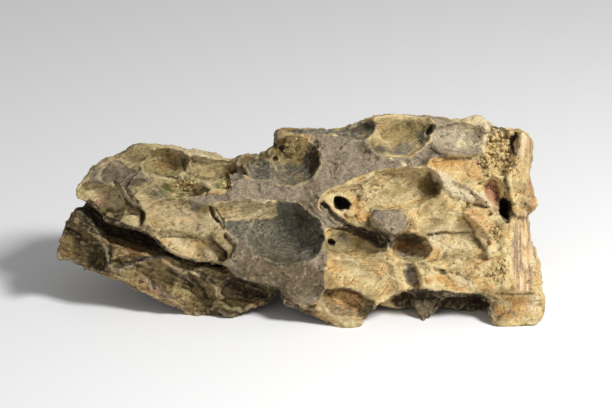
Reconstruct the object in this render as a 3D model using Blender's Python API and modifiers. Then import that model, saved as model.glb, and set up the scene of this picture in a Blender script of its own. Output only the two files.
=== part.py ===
"""A dragon stone: one lump of weathered clay stone, hollowed by water, that rests on its own feet.

Run with: blender --background --python part.py

Metres, +Z up. X runs along the stone's length. The broad hollowed face looks to -Y and leans
back by FACE_LEAN, so most places are given in face millimetres: u across the face from its
middle, v up the face, w out of the face. The stone is lumps joined by a union and remeshed, then
hollowed with ellipsoids, roughened, and cut flat where it meets the surface it rests on.
"""

import math
import random
from collections import namedtuple

import bmesh
import bpy
from mathutils import Matrix, Vector

MM = 0.001
NAME = "dragon_stone"

# Driving dimensions, in millimetres and degrees. The skin is remeshed at a voxel size and worn
# by so many smoothings, first for the lumps and then for the whole stone.
FACE_LEAN = 22.0
LUMP_VOXEL, LUMP_WEAR = 2.2, 3
STONE_VOXEL, STONE_WEAR = 1.7, 1
SWELL_SIZE, SWELL_HEIGHT = 26.0, 2.6
PIT_SIZE, PIT_HEIGHT = 8.0, 1.4
ROUGH_LEVEL = 0.4
TRIANGLES = 9400

# A reach that clears the stone on every side, in millimetres
CLEAR = 260.0

FACE = Matrix.Rotation(math.radians(90 - FACE_LEAN), 4, "X")

# A lump is an outline carried back through stages, each a depth behind the front in millimetres,
# how far the outline is drawn in across and upright, and how far it is lifted
Lump = namedtuple("Lump", "outline front tilt stages")
Stage = namedtuple("Stage", "depth across upright lift", defaults=(1.0, 1.0, 0.0))

WORN_LUMPS = {
    "heart": Lump(
        [(-46, 88), (-33, 86.5), (-30, 92), (-12.5, 94), (-13, 105.5), (27, 105.5),
         (35, 110.5), (44, 113), (64, 112.5), (84, 110), (101, 108), (113, 104),
         (113, 62), (114, 50), (116, 34), (118, 18), (96, 17), (80, 15.5), (66, 17.5),
         (54, 20), (42, 12), (14, 11), (1, 16), (-19, 22.5), (-33, 27), (-40, 34)],
        -2, (0.0, -0.05),
        [Stage(5), Stage(30, 0.97, 0.92, 4), Stage(26, 0.88, 0.66, -1), Stage(10, 0.7, 0.5, -4)],
    ),
    "upper slab": Lump(
        [(-121, 72.5), (-116.5, 78.5), (-109.5, 86), (-104.5, 89), (-99.5, 89.5), (-88, 96),
         (-71, 96.5), (-60, 93.5), (-45, 90), (-33, 87), (-24, 70), (-20, 40), (-27, 22.5),
         (-38.5, 31.5), (-50.5, 34), (-59, 35.5), (-65, 37.5), (-72, 41.5), (-76, 46),
         (-91, 51.5), (-103, 55), (-108, 58.5), (-107, 61), (-113, 64.5), (-118.5, 68)],
        -5, (0.12, -0.12),
        [Stage(4), Stage(20, 0.96, 0.86, 6), Stage(22, 0.84, 0.8, 2)],
    ),
    "lower ledge": Lump(
        [(-132, 36.5), (-128.5, 45), (-125, 51.5), (-120, 56), (-114, 49.5), (-106, 44),
         (-100, 38), (-79, 37), (-60, 34), (-40, 29), (-14, 25), (-12.5, 15), (-18, 11),
         (-28, 7), (-32, 4.5), (-38.5, 3), (-51.5, 4.5), (-60, 5), (-70, 11), (-80, 14.5),
         (-95, 23.5), (-104, 26.5), (-121, 30)],
        -10, (-0.05, 0.05),
        [Stage(4, lift=1), Stage(18, 0.96, 0.9, 11), Stage(22, 0.84, 0.8, 8)],
    ),
    "middle back": Lump(
        [(-84, 68), (-80, 84), (-50, 86), (-10, 93), (30, 98), (70, 103), (92, 98), (98, 70),
         (92, 30), (60, 22), (10, 20), (-30, 24), (-64, 34)],
        -34, (0.0, -0.1),
        [Stage(18, 0.98, 0.94, 4), Stage(16, 0.88, 0.8, 3), Stage(12, 0.7, 0.6, 2)],
    ),
    "left back": Lump(
        [(-112, 68), (-108, 80), (-92, 88), (-60, 86), (-40, 70), (-40, 34), (-70, 36),
         (-100, 46)],
        -30, (0.1, -0.1),
        [Stage(18, 0.95, 0.92, 3), Stage(16, 0.8, 0.8, 2)],
    ),
    "right back": Lump(
        [(60, 98), (100, 102), (116, 96), (120, 70), (121, 30), (104, 12), (66, 12),
         (52, 40)],
        -24, (-0.1, -0.05),
        [Stage(24, 0.96, 0.92, 5), Stage(18, 0.82, 0.8, 4)],
    ),
    "middle foot": Lump(
        [(12, 19), (21, 22), (33, 21), (42, 13), (42, 8.5), (38, 7), (36.5, 3), (30.5, -2),
         (21.5, -2), (17, 2), (11, 4.5), (0, 8.5), (-9, 12.5), (-6, 20)],
        2, (0.0, 0.0),
        [Stage(3), Stage(14, 0.9, 0.9, 6), Stage(14, 0.8, 0.9, 9)],
    ),
    "right foot": Lump(
        [(104, 18), (102.5, 10.5), (103.5, -1), (126, -1), (131.5, 3), (132, 11), (130.5, 17.5),
         (131, 22), (127.5, 27), (114, 30)],
        0, (0.0, 0.0),
        [Stage(4, lift=1), Stage(20, 0.92, 0.88, 13), Stage(14, 0.8, 0.8, 6)],
    ),
    "inner wall": Lump(
        [(36, 24), (38, 12), (52, 8), (60, 8.5), (75, 9), (86, 7), (99, 2), (106, 0), (110, 24)],
        -17, (-0.05, 0.0),
        [Stage(4, lift=1), Stage(20, 1.0, 1.0, 13)],
    ),
    "right end": Lump(
        [(108, 62), (123, 62), (124.5, 50), (127.5, 32), (128, 24), (119, 17), (108, 19)],
        -6, (-1.3, 0.0),
        [Stage(26, 0.95, 0.95, 8), Stage(24, 0.8, 0.8, 6)],
    ),
    "crust shoulder": Lump(
        [(101, 108.5), (104, 107), (115, 106.5), (120, 104), (126, 102), (126, 95.5),
         (127, 89), (125, 86), (112, 82), (100, 82)],
        -5, (-0.25, -0.1),
        [Stage(3), Stage(22, 0.95, 0.9), Stage(18, 0.85, 0.8)],
    ),
}

# Plates, spurs and lips that weather hasn't rounded
CRISP_LUMPS = {
    "raised left plate": Lump(
        [(-100, 79), (-96.5, 72), (-92, 68), (-87, 64.5), (-83, 61.5), (-82, 57.5), (-82.5, 53),
         (-79, 47.5), (-75, 46), (-72, 41.5), (-65, 37.5), (-59, 35.5), (-50.5, 34.5),
         (-38.5, 32), (-36, 40), (-41, 50), (-46, 60), (-48, 66), (-60, 69), (-72, 72),
         (-84, 77), (-92, 81)],
        -3, (0.10, -0.10), [Stage(10, 0.98, 0.92, 3)],
    ),
    "mauve cap": Lump(
        [(-109, 84.5), (-104.5, 88), (-99.5, 88.5), (-91, 91.5), (-85, 87), (-80, 80), (-86, 77.5),
         (-99, 79), (-105, 79)],
        -9, (0.12, -0.3), [Stage(8, 0.98, 0.92, -1)],
    ),
    "centre lip": Lump(
        [(-38, 51), (-33, 46), (-24, 43), (-19, 36), (-10, 33), (3, 34.5), (9, 38), (14, 38),
         (14, 19.5), (1, 16), (-10, 21), (-19, 22.5), (-27, 23), (-33, 27), (-38.5, 32)],
        2, (0.0, -0.10), [Stage(9, 0.97, 0.9, 2)],
    ),
    "yellow facet": Lump(
        [(14, 38.5), (14, 19), (21, 20.5), (35.5, 14), (41, 10.2), (47, 13), (54.5, 20.5),
         (53, 33), (42, 38), (33, 36), (24, 36)],
        3.5, (0.0, -0.10), [Stage(8, 0.96, 0.92, 2)],
    ),
    "right field": Lump(
        [(60, 36), (54, 20.5), (65.5, 17.8), (80, 15.8), (96.5, 17.8), (103, 17.5), (102, 35),
         (101, 39.5), (98, 44), (94, 50), (91, 62), (80, 62), (73, 54), (73, 38)],
        1, (0.0, -0.03), [Stage(8, 0.97, 0.94, 2)],
    ),
    "orange plate": Lump(
        [(87, 60), (91, 62.5), (98.5, 63), (108.5, 61.5), (114.5, 53.5), (113.5, 50),
         (116, 35), (117.5, 25), (119, 18), (103, 17.5), (102, 35), (101, 39.5), (98, 44),
         (94, 50)],
        3, (-0.05, 0.0), [Stage(9, 0.96, 0.96, 1)],
    ),
    "right plate": Lump(
        [(67.5, 88.5), (72, 92), (101.5, 92), (104, 78), (95, 76), (82, 79), (75, 81)],
        1.5, (0.0, -0.06), [Stage(8, 0.97, 0.92, 0)],
    ),
    "grey shoulder": Lump(
        [(78, 109.5), (84, 110), (101.5, 107.5), (102, 92.5), (72, 92.5), (71, 97), (74, 106)],
        -3.5, (0.0, -0.25), [Stage(8, 0.97, 0.92, -2)],
    ),
    "cream ridge": Lump(
        [(75, 80), (82, 79), (95, 75), (103, 68), (109, 62), (101, 60), (88, 68), (77, 75)],
        0.8, (0.0, 0.0), [Stage(8, 0.97, 0.92, 0)],
    ),
    "ledge plate": Lump(
        [(-58, 29), (-51.5, 23.5), (-49, 16), (-47, 10), (-38.5, 4), (-28, 8), (-18, 12),
         (-13, 17), (-22, 23), (-38, 28), (-50, 32)],
        -8.5, (-0.05, 0.05), [Stage(9, 0.95, 0.9, 3)],
    ),
    "ledge middle": Lump(
        [(-100, 41), (-99.5, 29), (-94, 24), (-79.5, 15), (-69, 11), (-61, 8), (-59, 28),
         (-66, 36), (-79, 37.5)],
        -8, (-0.03, 0.05), [Stage(9, 0.95, 0.9, 3)],
    ),
    "spike": Lump(
        [(59, 25), (60.5, 18), (62.5, 8), (65, 1.5), (69, 1.5), (72.5, 6), (77.5, 11),
         (80, 17), (82, 25)],
        -7, (0.0, 0.0), [Stage(10, 0.95, 0.95, 2)],
    ),
    "tongue": Lump(
        [(114, 86), (124, 88), (124.5, 82), (127, 71), (128, 66), (127, 60.5), (119.5, 58.5),
         (115.5, 63), (114, 72)],
        -7, (-0.3, 0.0), [Stage(3), Stage(22, 0.96, 0.95, 4)],
    ),
    "peak": Lump(
        [(86.5, 104), (87, 109.5), (91.5, 111.7), (96, 113.2), (100, 112.5), (101.5, 109),
         (102, 104)],
        -7, (0.0, 0.0), [Stage(3), Stage(10, 0.9, 0.9, -2)],
    ),
    "knob": Lump(
        [(41.5, 62.5), (50, 63), (57, 62), (60, 58.5), (58, 54), (59, 50.5), (50, 49.5),
         (43, 53.5), (39, 58.5)],
        5, (0.0, -0.1), [Stage(4, 1.1, 1.1), Stage(10, 1.15, 1.1, 1)],
    ),
}

# A hollow is an ellipsoid pressed into the face: its middle and the level of its rim, its width,
# height and depth there, its turn on the face and how far it is tipped to the right and upwards.
# A mouth of 0 has upright walls at the rim, and a larger one is a wider, flatter dish.
Hollow = namedtuple("Hollow", "u v w across tall deep turn right up mouth",
                    defaults=(0.0, 0.0, 0.0, 0.6))

HOLLOWS = {
    "great hollow": Hollow(-9, 50, 0, 43, 32, 15, -18, 12, 12, 0.3),
    "great hollow's left end": Hollow(-27, 57, -1, 42, 18, 6, -8, 6, 0, 0.5),
    "top left hollow": Hollow(-72, 88, -9, 27, 15, 7, 0, 4, -6, 0.2),
    "upper hollow": Hollow(-6, 89, -3, 34, 26, 12, 0, 10, 0, 0.3),
    "upper hollow's left end": Hollow(-20, 88, -5, 24, 18, 6, 0, 6, 0, 0.5),
    "top hollow": Hollow(55, 105, -4, 35, 27, 9, 12, -6, 0, 0.5),
    "small top hollow": Hollow(35, 106, -6, 15, 11, 6, 25, 12, 0, 0.3),
    "long hollow": Hollow(53, 73.5, -1, 47, 21, 10, 8, 12, 4, 0.3),
    "long hollow's left end": Hollow(24, 69, -1, 26, 12, 4, 20, 0, 0, 0.5),
    "eye": Hollow(23.5, 65.5, -3, 10, 8, 12, -30, 0, 0, 0.1),
    "trough": Hollow(30, 44.5, 1, 38, 17, 10, -6, 8, 16, 0.3),
    "cave": Hollow(60.5, 42.5, 1, 23, 16, 17, 0, 8, 8, 0.1),
    "foot hollow": Hollow(27, 11, 3, 29, 17, 7, -25, 0, 8, 0.4),
    "yellow facet": Hollow(34, 26, 4.5, 42, 24, 3, -12, 0, 0, 0.8),
    "groove by the facet": Hollow(59, 27, 2, 12, 20, 4, 15, 0, 0, 0.6),
    "right plate": Hollow(85, 84, 1.5, 38, 14, 2, 4, 0, 0, 0.8),
    "cream strip": Hollow(88, 68, 0, 36, 11, 2.5, -28, 0, 0, 0.8),
    "right field": Hollow(78, 47, 1.5, 42, 26, 3, -10, 0, 0, 0.8),
    "grey shoulder": Hollow(86, 101, -3, 30, 14, 2.5, 0, 0, 20, 0.8),
    "tan plate": Hollow(-61, 58, -2.5, 42, 18, 2.5, -6, -6, 0, 0.8),
    "plate under the crack": Hollow(-56, 43, -2, 38, 12, 2, -18, -6, 0, 0.8),
    "red plate": Hollow(-106, 66, -12, 26, 18, 4, -35, -10, 0, 0.8),
    "mauve cap": Hollow(-94, 84, -11, 26, 13, 2, 25, -8, 14, 0.8),
    "cap's dimple": Hollow(-94.5, 78, -9, 8, 6, 4, 0, 0, 0, 0.4),
    "olive slope": Hollow(-46, 83, -8, 34, 12, 3, -8, 0, 20, 0.8),
    "moss band": Hollow(-60, 74, -6.5, 34, 9, 2, -8, 0, 0, 0.7),
    "green face": Hollow(-116, 40, -10, 32, 21, 7, -40, -14, 0, 0.5),
    "ledge hollow": Hollow(-80, 26, -9.5, 40, 17, 4, -20, 0, 10, 0.7),
    "ledge dish": Hollow(-57, 17, -10, 22, 18, 4, -30, 0, 10, 0.7),
    "ledge's right hollow": Hollow(-30, 17, -9, 26, 17, 5, 0, 0, 14, 0.6),
    "notch": Hollow(-12, 9, -6, 12, 9, 14, 20, 0, 0, 0.3),
    "brick recess": Hollow(107, 69, -1.5, 12, 22, 7, 20, 0, 0, 0.3),
    "black hole": Hollow(111, 62, -4, 8, 14, 18, 12, 0, 0, 0.2),
    "crust hollow": Hollow(108, 94, -4, 15, 26, 4, 0, 0, 0, 0.6),
    "crust slot": Hollow(115, 98, -4, 5, 14, 8, -10, 0, 0, 0.2),
}

# Feet as x and y, in world millimetres. The two at the back are cones of their own, which reach
# a little under the surface that the stone rests on and widen towards their tops.
FRONT_FEET = [(-44, 14), (26, 4), (117, 8)]
BACK_FEET = [(-34, 62), (70, 70)]
FOOT_RADIUS, FOOT_TALL = 9.0, 26.0
FOOT_SPREAD, FOOT_SINK = 2.2, 1.5

# Stray hollows: their mouth, how squat they may be, where in its cell of the field one may lie,
# how squarely the skin must face the field, and the height under which they stay off the feet
STRAY_MOUTH = 0.5
STRAY_SQUAT = (0.55, 0.85)
STRAY_ACROSS, STRAY_UP = (0.15, 0.75), (0.2, 0.8)
STRAY_FACING = 0.3
FOOT_ZONE = 30.0

# Fields of stray hollows where the broad face doesn't look: the frame they are pressed along,
# the field's reach across and up in that frame, its columns and rows, the least and greatest
# width and depth of a hollow, and the seed of the draws
Field = namedtuple("Field", "frame across up columns rows width depth seed")
FIELDS = {
    "back slope": Field(
        Matrix.Rotation(math.pi, 4, "Z") @ Matrix.Rotation(math.radians(50), 4, "X"),
        (-120, 120), (-50, 40), 7, 3, (26, 44), (5, 9), 11),
    "back wall": Field(
        Matrix.Rotation(math.pi, 4, "Z") @ Matrix.Rotation(math.radians(115), 4, "X"),
        (-120, 120), (40, 100), 7, 2, (24, 42), (5, 9), 5),
    "left end": Field(
        Matrix.Rotation(math.radians(-90), 4, "Z") @ Matrix.Rotation(math.radians(80), 4, "X"),
        (-100, 0), (20, 90), 3, 2, (20, 30), (4, 6), 8),
    "right end": Field(
        Matrix.Rotation(math.radians(90), 4, "Z") @ Matrix.Rotation(math.radians(80), 4, "X"),
        (20, 100), (10, 95), 3, 2, (18, 30), (3, 6), 3),
    "underside": Field(
        Matrix.Rotation(math.pi, 4, "X"),
        (-110, 110), (-95, -34), 8, 2, (28, 42), (6, 9), 2),
}

MATERIAL_COLOUR = (0.42, 0.32, 0.19, 1.0)
MATERIAL_ROUGHNESS = 0.85


def collection(name, hidden=False):
    made = bpy.data.collections.new(name)
    made.hide_render = hidden
    bpy.context.scene.collection.children.link(made)
    return made


def add_object(name, bm, home, frame=Matrix.Identity(4)):
    """A mesh object from a bmesh given in millimetres of the frame."""
    mesh = bpy.data.meshes.new(name)
    bmesh.ops.transform(bm, matrix=frame @ Matrix.Scale(MM, 4), verts=bm.verts)
    bmesh.ops.recalc_face_normals(bm, faces=bm.faces)
    bm.to_mesh(mesh)
    bm.free()
    made = bpy.data.objects.new(name, mesh)
    home.objects.link(made)
    return made


def middle_of(verts):
    return sum((v.co for v in verts), Vector()) / len(verts)


def lump_mesh(lump):
    """The outline's face carried back stage by stage, each drawn in about its own middle."""
    bm = bmesh.new()
    middle = Vector((*[sum(p[i] for p in lump.outline) / len(lump.outline) for i in (0, 1)], 0))
    tilt_u, tilt_v = lump.tilt
    rim = [
        bm.verts.new((u, v, lump.front + tilt_u * (u - middle.x) + tilt_v * (v - middle.y)))
        for u, v in lump.outline
    ]
    face = bm.faces.new(rim)
    for stage in lump.stages:
        grown = bmesh.ops.extrude_face_region(bm, geom=[face], use_keep_orig=True)["geom"]
        verts = [item for item in grown if isinstance(item, bmesh.types.BMVert)]
        face = next(item for item in grown if isinstance(item, bmesh.types.BMFace))
        centre = middle_of(verts)
        bmesh.ops.scale(
            bm, verts=verts, vec=(stage.across, stage.upright, 1.0),
            space=Matrix.Translation(-centre),
        )
        bmesh.ops.translate(bm, verts=verts, vec=(0.0, stage.lift, -stage.depth))
    return bm


def ellipsoid_mesh(place, across, tall, deep, mouth):
    """An ellipsoid whose cut through the place's own plane has this width and height."""
    height = mouth * deep
    reach = height + deep
    spread = 1.0 / math.sqrt(1.0 - (height / reach) ** 2)
    bm = bmesh.new()
    bmesh.ops.create_icosphere(bm, subdivisions=3, radius=1.0)
    size = Matrix.Diagonal((across / 2 * spread, tall / 2 * spread, reach, 1.0))
    matrix = place @ Matrix.Translation((0, 0, height)) @ size
    bmesh.ops.transform(bm, matrix=matrix, verts=bm.verts)
    return bm


def hollow_mesh(hollow):
    place = (
        Matrix.Translation((hollow.u, hollow.v, hollow.w))
        @ Matrix.Rotation(math.radians(hollow.turn), 4, "Z")
        @ Matrix.Rotation(math.radians(hollow.right), 4, "Y")
        @ Matrix.Rotation(math.radians(-hollow.up), 4, "X")
    )
    return ellipsoid_mesh(place, hollow.across, hollow.tall, hollow.deep, hollow.mouth)


def apply_modifiers(obj):
    """Replaces the object's mesh with its evaluated one."""
    depsgraph = bpy.context.evaluated_depsgraph_get()
    mesh = bpy.data.meshes.new_from_object(obj.evaluated_get(depsgraph))
    obj.modifiers.clear()
    old = obj.data
    obj.data = mesh
    bpy.data.meshes.remove(old)


def add_piece(bm, piece):
    """Adds the piece's bmesh to bm and frees it."""
    bmesh.ops.recalc_face_normals(piece, faces=piece.faces)
    mesh = bpy.data.meshes.new("piece")
    piece.to_mesh(mesh)
    piece.free()
    bm.from_mesh(mesh)
    bpy.data.meshes.remove(mesh)


def one_skin(stone, voxel, wear):
    """One closed skin over everything joined in the mesh, worn round by so many smoothings."""
    skin = stone.modifiers.new("one skin", "REMESH")
    skin.mode = "VOXEL"
    skin.voxel_size = voxel * MM
    if wear:
        smooth = stone.modifiers.new("wear", "SMOOTH")
        smooth.factor = 0.5
        smooth.iterations = wear
    apply_modifiers(stone)


def join_lumps(home):
    """The worn lumps and back feet in one skin, then the crisp lumps over it."""
    bm = bmesh.new()
    for lump in WORN_LUMPS.values():
        add_piece(bm, lump_mesh(lump))
    for x, y in BACK_FEET:
        foot = bmesh.new()
        bmesh.ops.create_cone(
            foot, cap_ends=True, segments=12, radius1=FOOT_RADIUS,
            radius2=FOOT_SPREAD * FOOT_RADIUS, depth=FOOT_TALL,
        )
        bmesh.ops.translate(foot, vec=(x, y, FOOT_TALL / 2 - FOOT_SINK), verts=foot.verts)
        bmesh.ops.transform(foot, matrix=FACE.inverted(), verts=foot.verts)
        add_piece(bm, foot)
    stone = add_object(NAME, bm, home, FACE)
    one_skin(stone, LUMP_VOXEL, LUMP_WEAR)
    bm = bmesh.new()
    bm.from_mesh(stone.data)
    for lump in CRISP_LUMPS.values():
        piece = lump_mesh(lump)
        bmesh.ops.transform(piece, matrix=FACE @ Matrix.Scale(MM, 4), verts=piece.verts)
        add_piece(bm, piece)
    bm.to_mesh(stone.data)
    bm.free()
    one_skin(stone, STONE_VOXEL, STONE_WEAR)
    return stone


def stray_hollows(stone, field):
    """Ellipsoids on a loose grid over a field, each set square to the skin that it meets."""
    draw = random.Random(field.seed)
    out = (field.frame @ Vector((0, 0, 1, 0))).to_3d()
    wide = (field.across[1] - field.across[0]) / field.columns
    high = (field.up[1] - field.up[0]) / field.rows
    for column in range(field.columns):
        for row in range(field.rows):
            u = field.across[0] + wide * (column + 0.5 * (row % 2) + draw.uniform(*STRAY_ACROSS))
            v = field.up[0] + high * (row + draw.uniform(*STRAY_UP))
            width, depth = draw.uniform(*field.width), draw.uniform(*field.depth)
            turn, squat = draw.uniform(0, math.pi), draw.uniform(*STRAY_SQUAT)
            start = field.frame @ Vector((u, v, CLEAR)) * MM
            met, spot, normal, _ = stone.ray_cast(start, -out)
            near_foot = spot.z < FOOT_ZONE * MM and any(
                math.hypot(spot.x / MM - x, spot.y / MM - y) < FOOT_RADIUS + width / 2
                for x, y in FRONT_FEET + BACK_FEET
            )
            if not met or normal.dot(out) < STRAY_FACING or near_foot:
                continue
            lie = (normal + out).to_track_quat("Z", "Y").to_matrix().to_4x4()
            place = Matrix.Translation(spot / MM) @ lie @ Matrix.Rotation(turn, 4, "Z")
            yield ellipsoid_mesh(place, width, width * squat, depth, STRAY_MOUTH)


def add_cutter(name, bm, cutters, frame=Matrix.Identity(4)):
    """An object that only cuts, shown as wires."""
    cutter = add_object(name, bm, cutters, frame)
    cutter.hide_render = True
    cutter.display_type = "WIRE"
    return cutter


def press_hollows(stone, cutters):
    for name, hollow in HOLLOWS.items():
        add_cutter(name, hollow_mesh(hollow), cutters, FACE)
    for name, field in FIELDS.items():
        for bm in stray_hollows(stone, field):
            add_cutter(name, bm, cutters)
    cut = stone.modifiers.new("hollows", "BOOLEAN")
    cut.operation = "DIFFERENCE"
    cut.solver = "EXACT"
    cut.operand_type = "COLLECTION"
    cut.collection = cutters
    apply_modifiers(stone)


def roughen(stone):
    """Broad swells and small pits, on one even skin."""
    one_skin(stone, STONE_VOXEL, wear=0)
    for name, size, height in (
        ("swells", SWELL_SIZE, SWELL_HEIGHT), ("pits", PIT_SIZE, PIT_HEIGHT)
    ):
        texture = bpy.data.textures.new(name, "CLOUDS")
        texture.noise_scale = size * MM
        texture.noise_depth = 1
        rough = stone.modifiers.new(name, "DISPLACE")
        rough.texture = texture
        rough.texture_coords = "LOCAL"
        rough.strength = height * MM
        rough.mid_level = ROUGH_LEVEL
    apply_modifiers(stone)


def thin_out(stone):
    """Fewer, larger triangles where the stone is flatter."""
    stone.data.calc_loop_triangles()
    thin = stone.modifiers.new("thin out", "DECIMATE")
    thin.ratio = TRIANGLES / len(stone.data.loop_triangles)
    thin.use_collapse_triangulate = True
    apply_modifiers(stone)
    stone.data.shade_smooth()


def cut_feet(stone, cutters):
    """Small flats where the feet meet the surface the stone rests on."""
    bm = bmesh.new()
    bmesh.ops.create_cube(bm, size=1.0)
    bmesh.ops.scale(bm, vec=(2 * CLEAR, 2 * CLEAR, CLEAR), verts=bm.verts)
    bmesh.ops.translate(bm, vec=(0, 0, -CLEAR / 2), verts=bm.verts)
    floor = add_cutter("floor cut", bm, cutters)
    cut = stone.modifiers.new("feet", "BOOLEAN")
    cut.operation = "DIFFERENCE"
    cut.solver = "EXACT"
    cut.object = floor
    apply_modifiers(stone)


def stand_on_origin(stone):
    """Moves the stone until the middle of its box's underside is the origin."""
    corners = [Vector(corner) for corner in stone.bound_box]
    low = Vector([min(c[i] for c in corners) for i in range(3)])
    high = Vector([max(c[i] for c in corners) for i in range(3)])
    shift = Vector((-(low.x + high.x) / 2, -(low.y + high.y) / 2, -low.z))
    stone.data.transform(Matrix.Translation(shift))


def stone_material():
    material = bpy.data.materials.new("weathered clay stone")
    material.use_nodes = True
    shader = material.node_tree.nodes["Principled BSDF"]
    shader.inputs["Base Color"].default_value = MATERIAL_COLOUR
    shader.inputs["Roughness"].default_value = MATERIAL_ROUGHNESS
    shader.inputs["Metallic"].default_value = 0.0
    return material


def main():
    for obj in list(bpy.data.objects):
        bpy.data.objects.remove(obj)
    home = collection(NAME)
    hollow_cutters = collection("hollow cutters", hidden=True)
    floor_cutters = collection("floor cutters", hidden=True)
    stone = join_lumps(home)
    press_hollows(stone, hollow_cutters)
    roughen(stone)
    thin_out(stone)
    cut_feet(stone, floor_cutters)
    stand_on_origin(stone)
    stone.data.materials.append(stone_material())


main()
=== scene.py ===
"""The looks of the dragon stone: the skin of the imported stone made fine, its hollows, plate edges and
cracks sharpened, and a procedural finish of weathered clay over it.

Places are face millimetres: u across the broad face from its middle, v up the face and w out of
it. The face looks to -Y and leans back by FACE_LEAN. Everything is moved into the row frame.
"""

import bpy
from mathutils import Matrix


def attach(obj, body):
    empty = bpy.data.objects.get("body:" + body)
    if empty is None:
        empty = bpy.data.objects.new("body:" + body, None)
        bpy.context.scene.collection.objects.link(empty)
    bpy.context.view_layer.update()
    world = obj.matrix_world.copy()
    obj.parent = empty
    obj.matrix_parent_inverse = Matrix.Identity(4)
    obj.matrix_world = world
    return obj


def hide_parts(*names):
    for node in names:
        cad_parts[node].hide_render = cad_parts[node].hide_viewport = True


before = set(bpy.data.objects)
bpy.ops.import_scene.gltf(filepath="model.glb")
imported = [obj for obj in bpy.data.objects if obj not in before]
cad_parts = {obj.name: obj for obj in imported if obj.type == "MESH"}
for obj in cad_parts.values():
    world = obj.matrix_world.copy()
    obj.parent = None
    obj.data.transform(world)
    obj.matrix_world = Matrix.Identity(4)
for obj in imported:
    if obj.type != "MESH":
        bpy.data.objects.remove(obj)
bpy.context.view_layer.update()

import math
import random
from collections import namedtuple

import bmesh
import bpy
import numpy as np
from mathutils import Matrix, Vector, noise

NODE = "dragon_stone"
MM = 0.001

# The face's lean in degrees, and where its millimetres start in the row frame
FACE_LEAN = 22.0
FACE_ORIGIN = np.array((-0.7, -54.1, 0.0))
FACE = Matrix.Rotation(math.radians(90 - FACE_LEAN), 3, "X")
AXES = np.array(FACE)
OUTWARD = np.array((0.0, 0.0, 1.0))

# The skin's step in millimetres, how many times coarser the first skin is, and within how many
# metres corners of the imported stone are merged
SKIN_VOXEL = 0.68
FIRST_SKIN = 1.3
MERGE = 1e-6

# The triangles that are kept, in all and on the side the photograph doesn't look at, and the number
# of vertices below which a loose piece is a crumb
SKIN_TRIANGLES = 190_000
HIDDEN_TRIANGLES = 90_000
CRUMB = 1_000

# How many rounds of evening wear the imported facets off, and the rounds and gains that sharpen the
# shape again on the first skin and on the fine one
WORN_ROUNDS = 4
FIRST_SHARPENING = (14, 0.9)
FINE_SHARPENING = (4, 1.1)

# In millimetres: how far the face is pushed out before it is cut, the height and width of a
# hollow's lip, and how soft the edge of a plate is
RISE = 1.1
LIP_HEIGHT = 0.6
LIP_WIDTH = 2.2
EDGE_SOFTNESS = 0.35

# The edges of plates are cut this many times as deep as their rows say
STEP_GAIN = 1.9

# A hollow and its coats reach only what faces at least this far out
HOLLOW_FACING = -0.1

# A hollow is an ellipsoid pressed into the face: the middle and level of its rim, its width, height
# and depth there, its turn on the face, how far it is tipped right and up, and how wide a dish it is
Hollow = namedtuple("Hollow", "u v w across tall deep turn right up mouth",
                    defaults=(0.0, 0.0, 0.0, 0.6))

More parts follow.
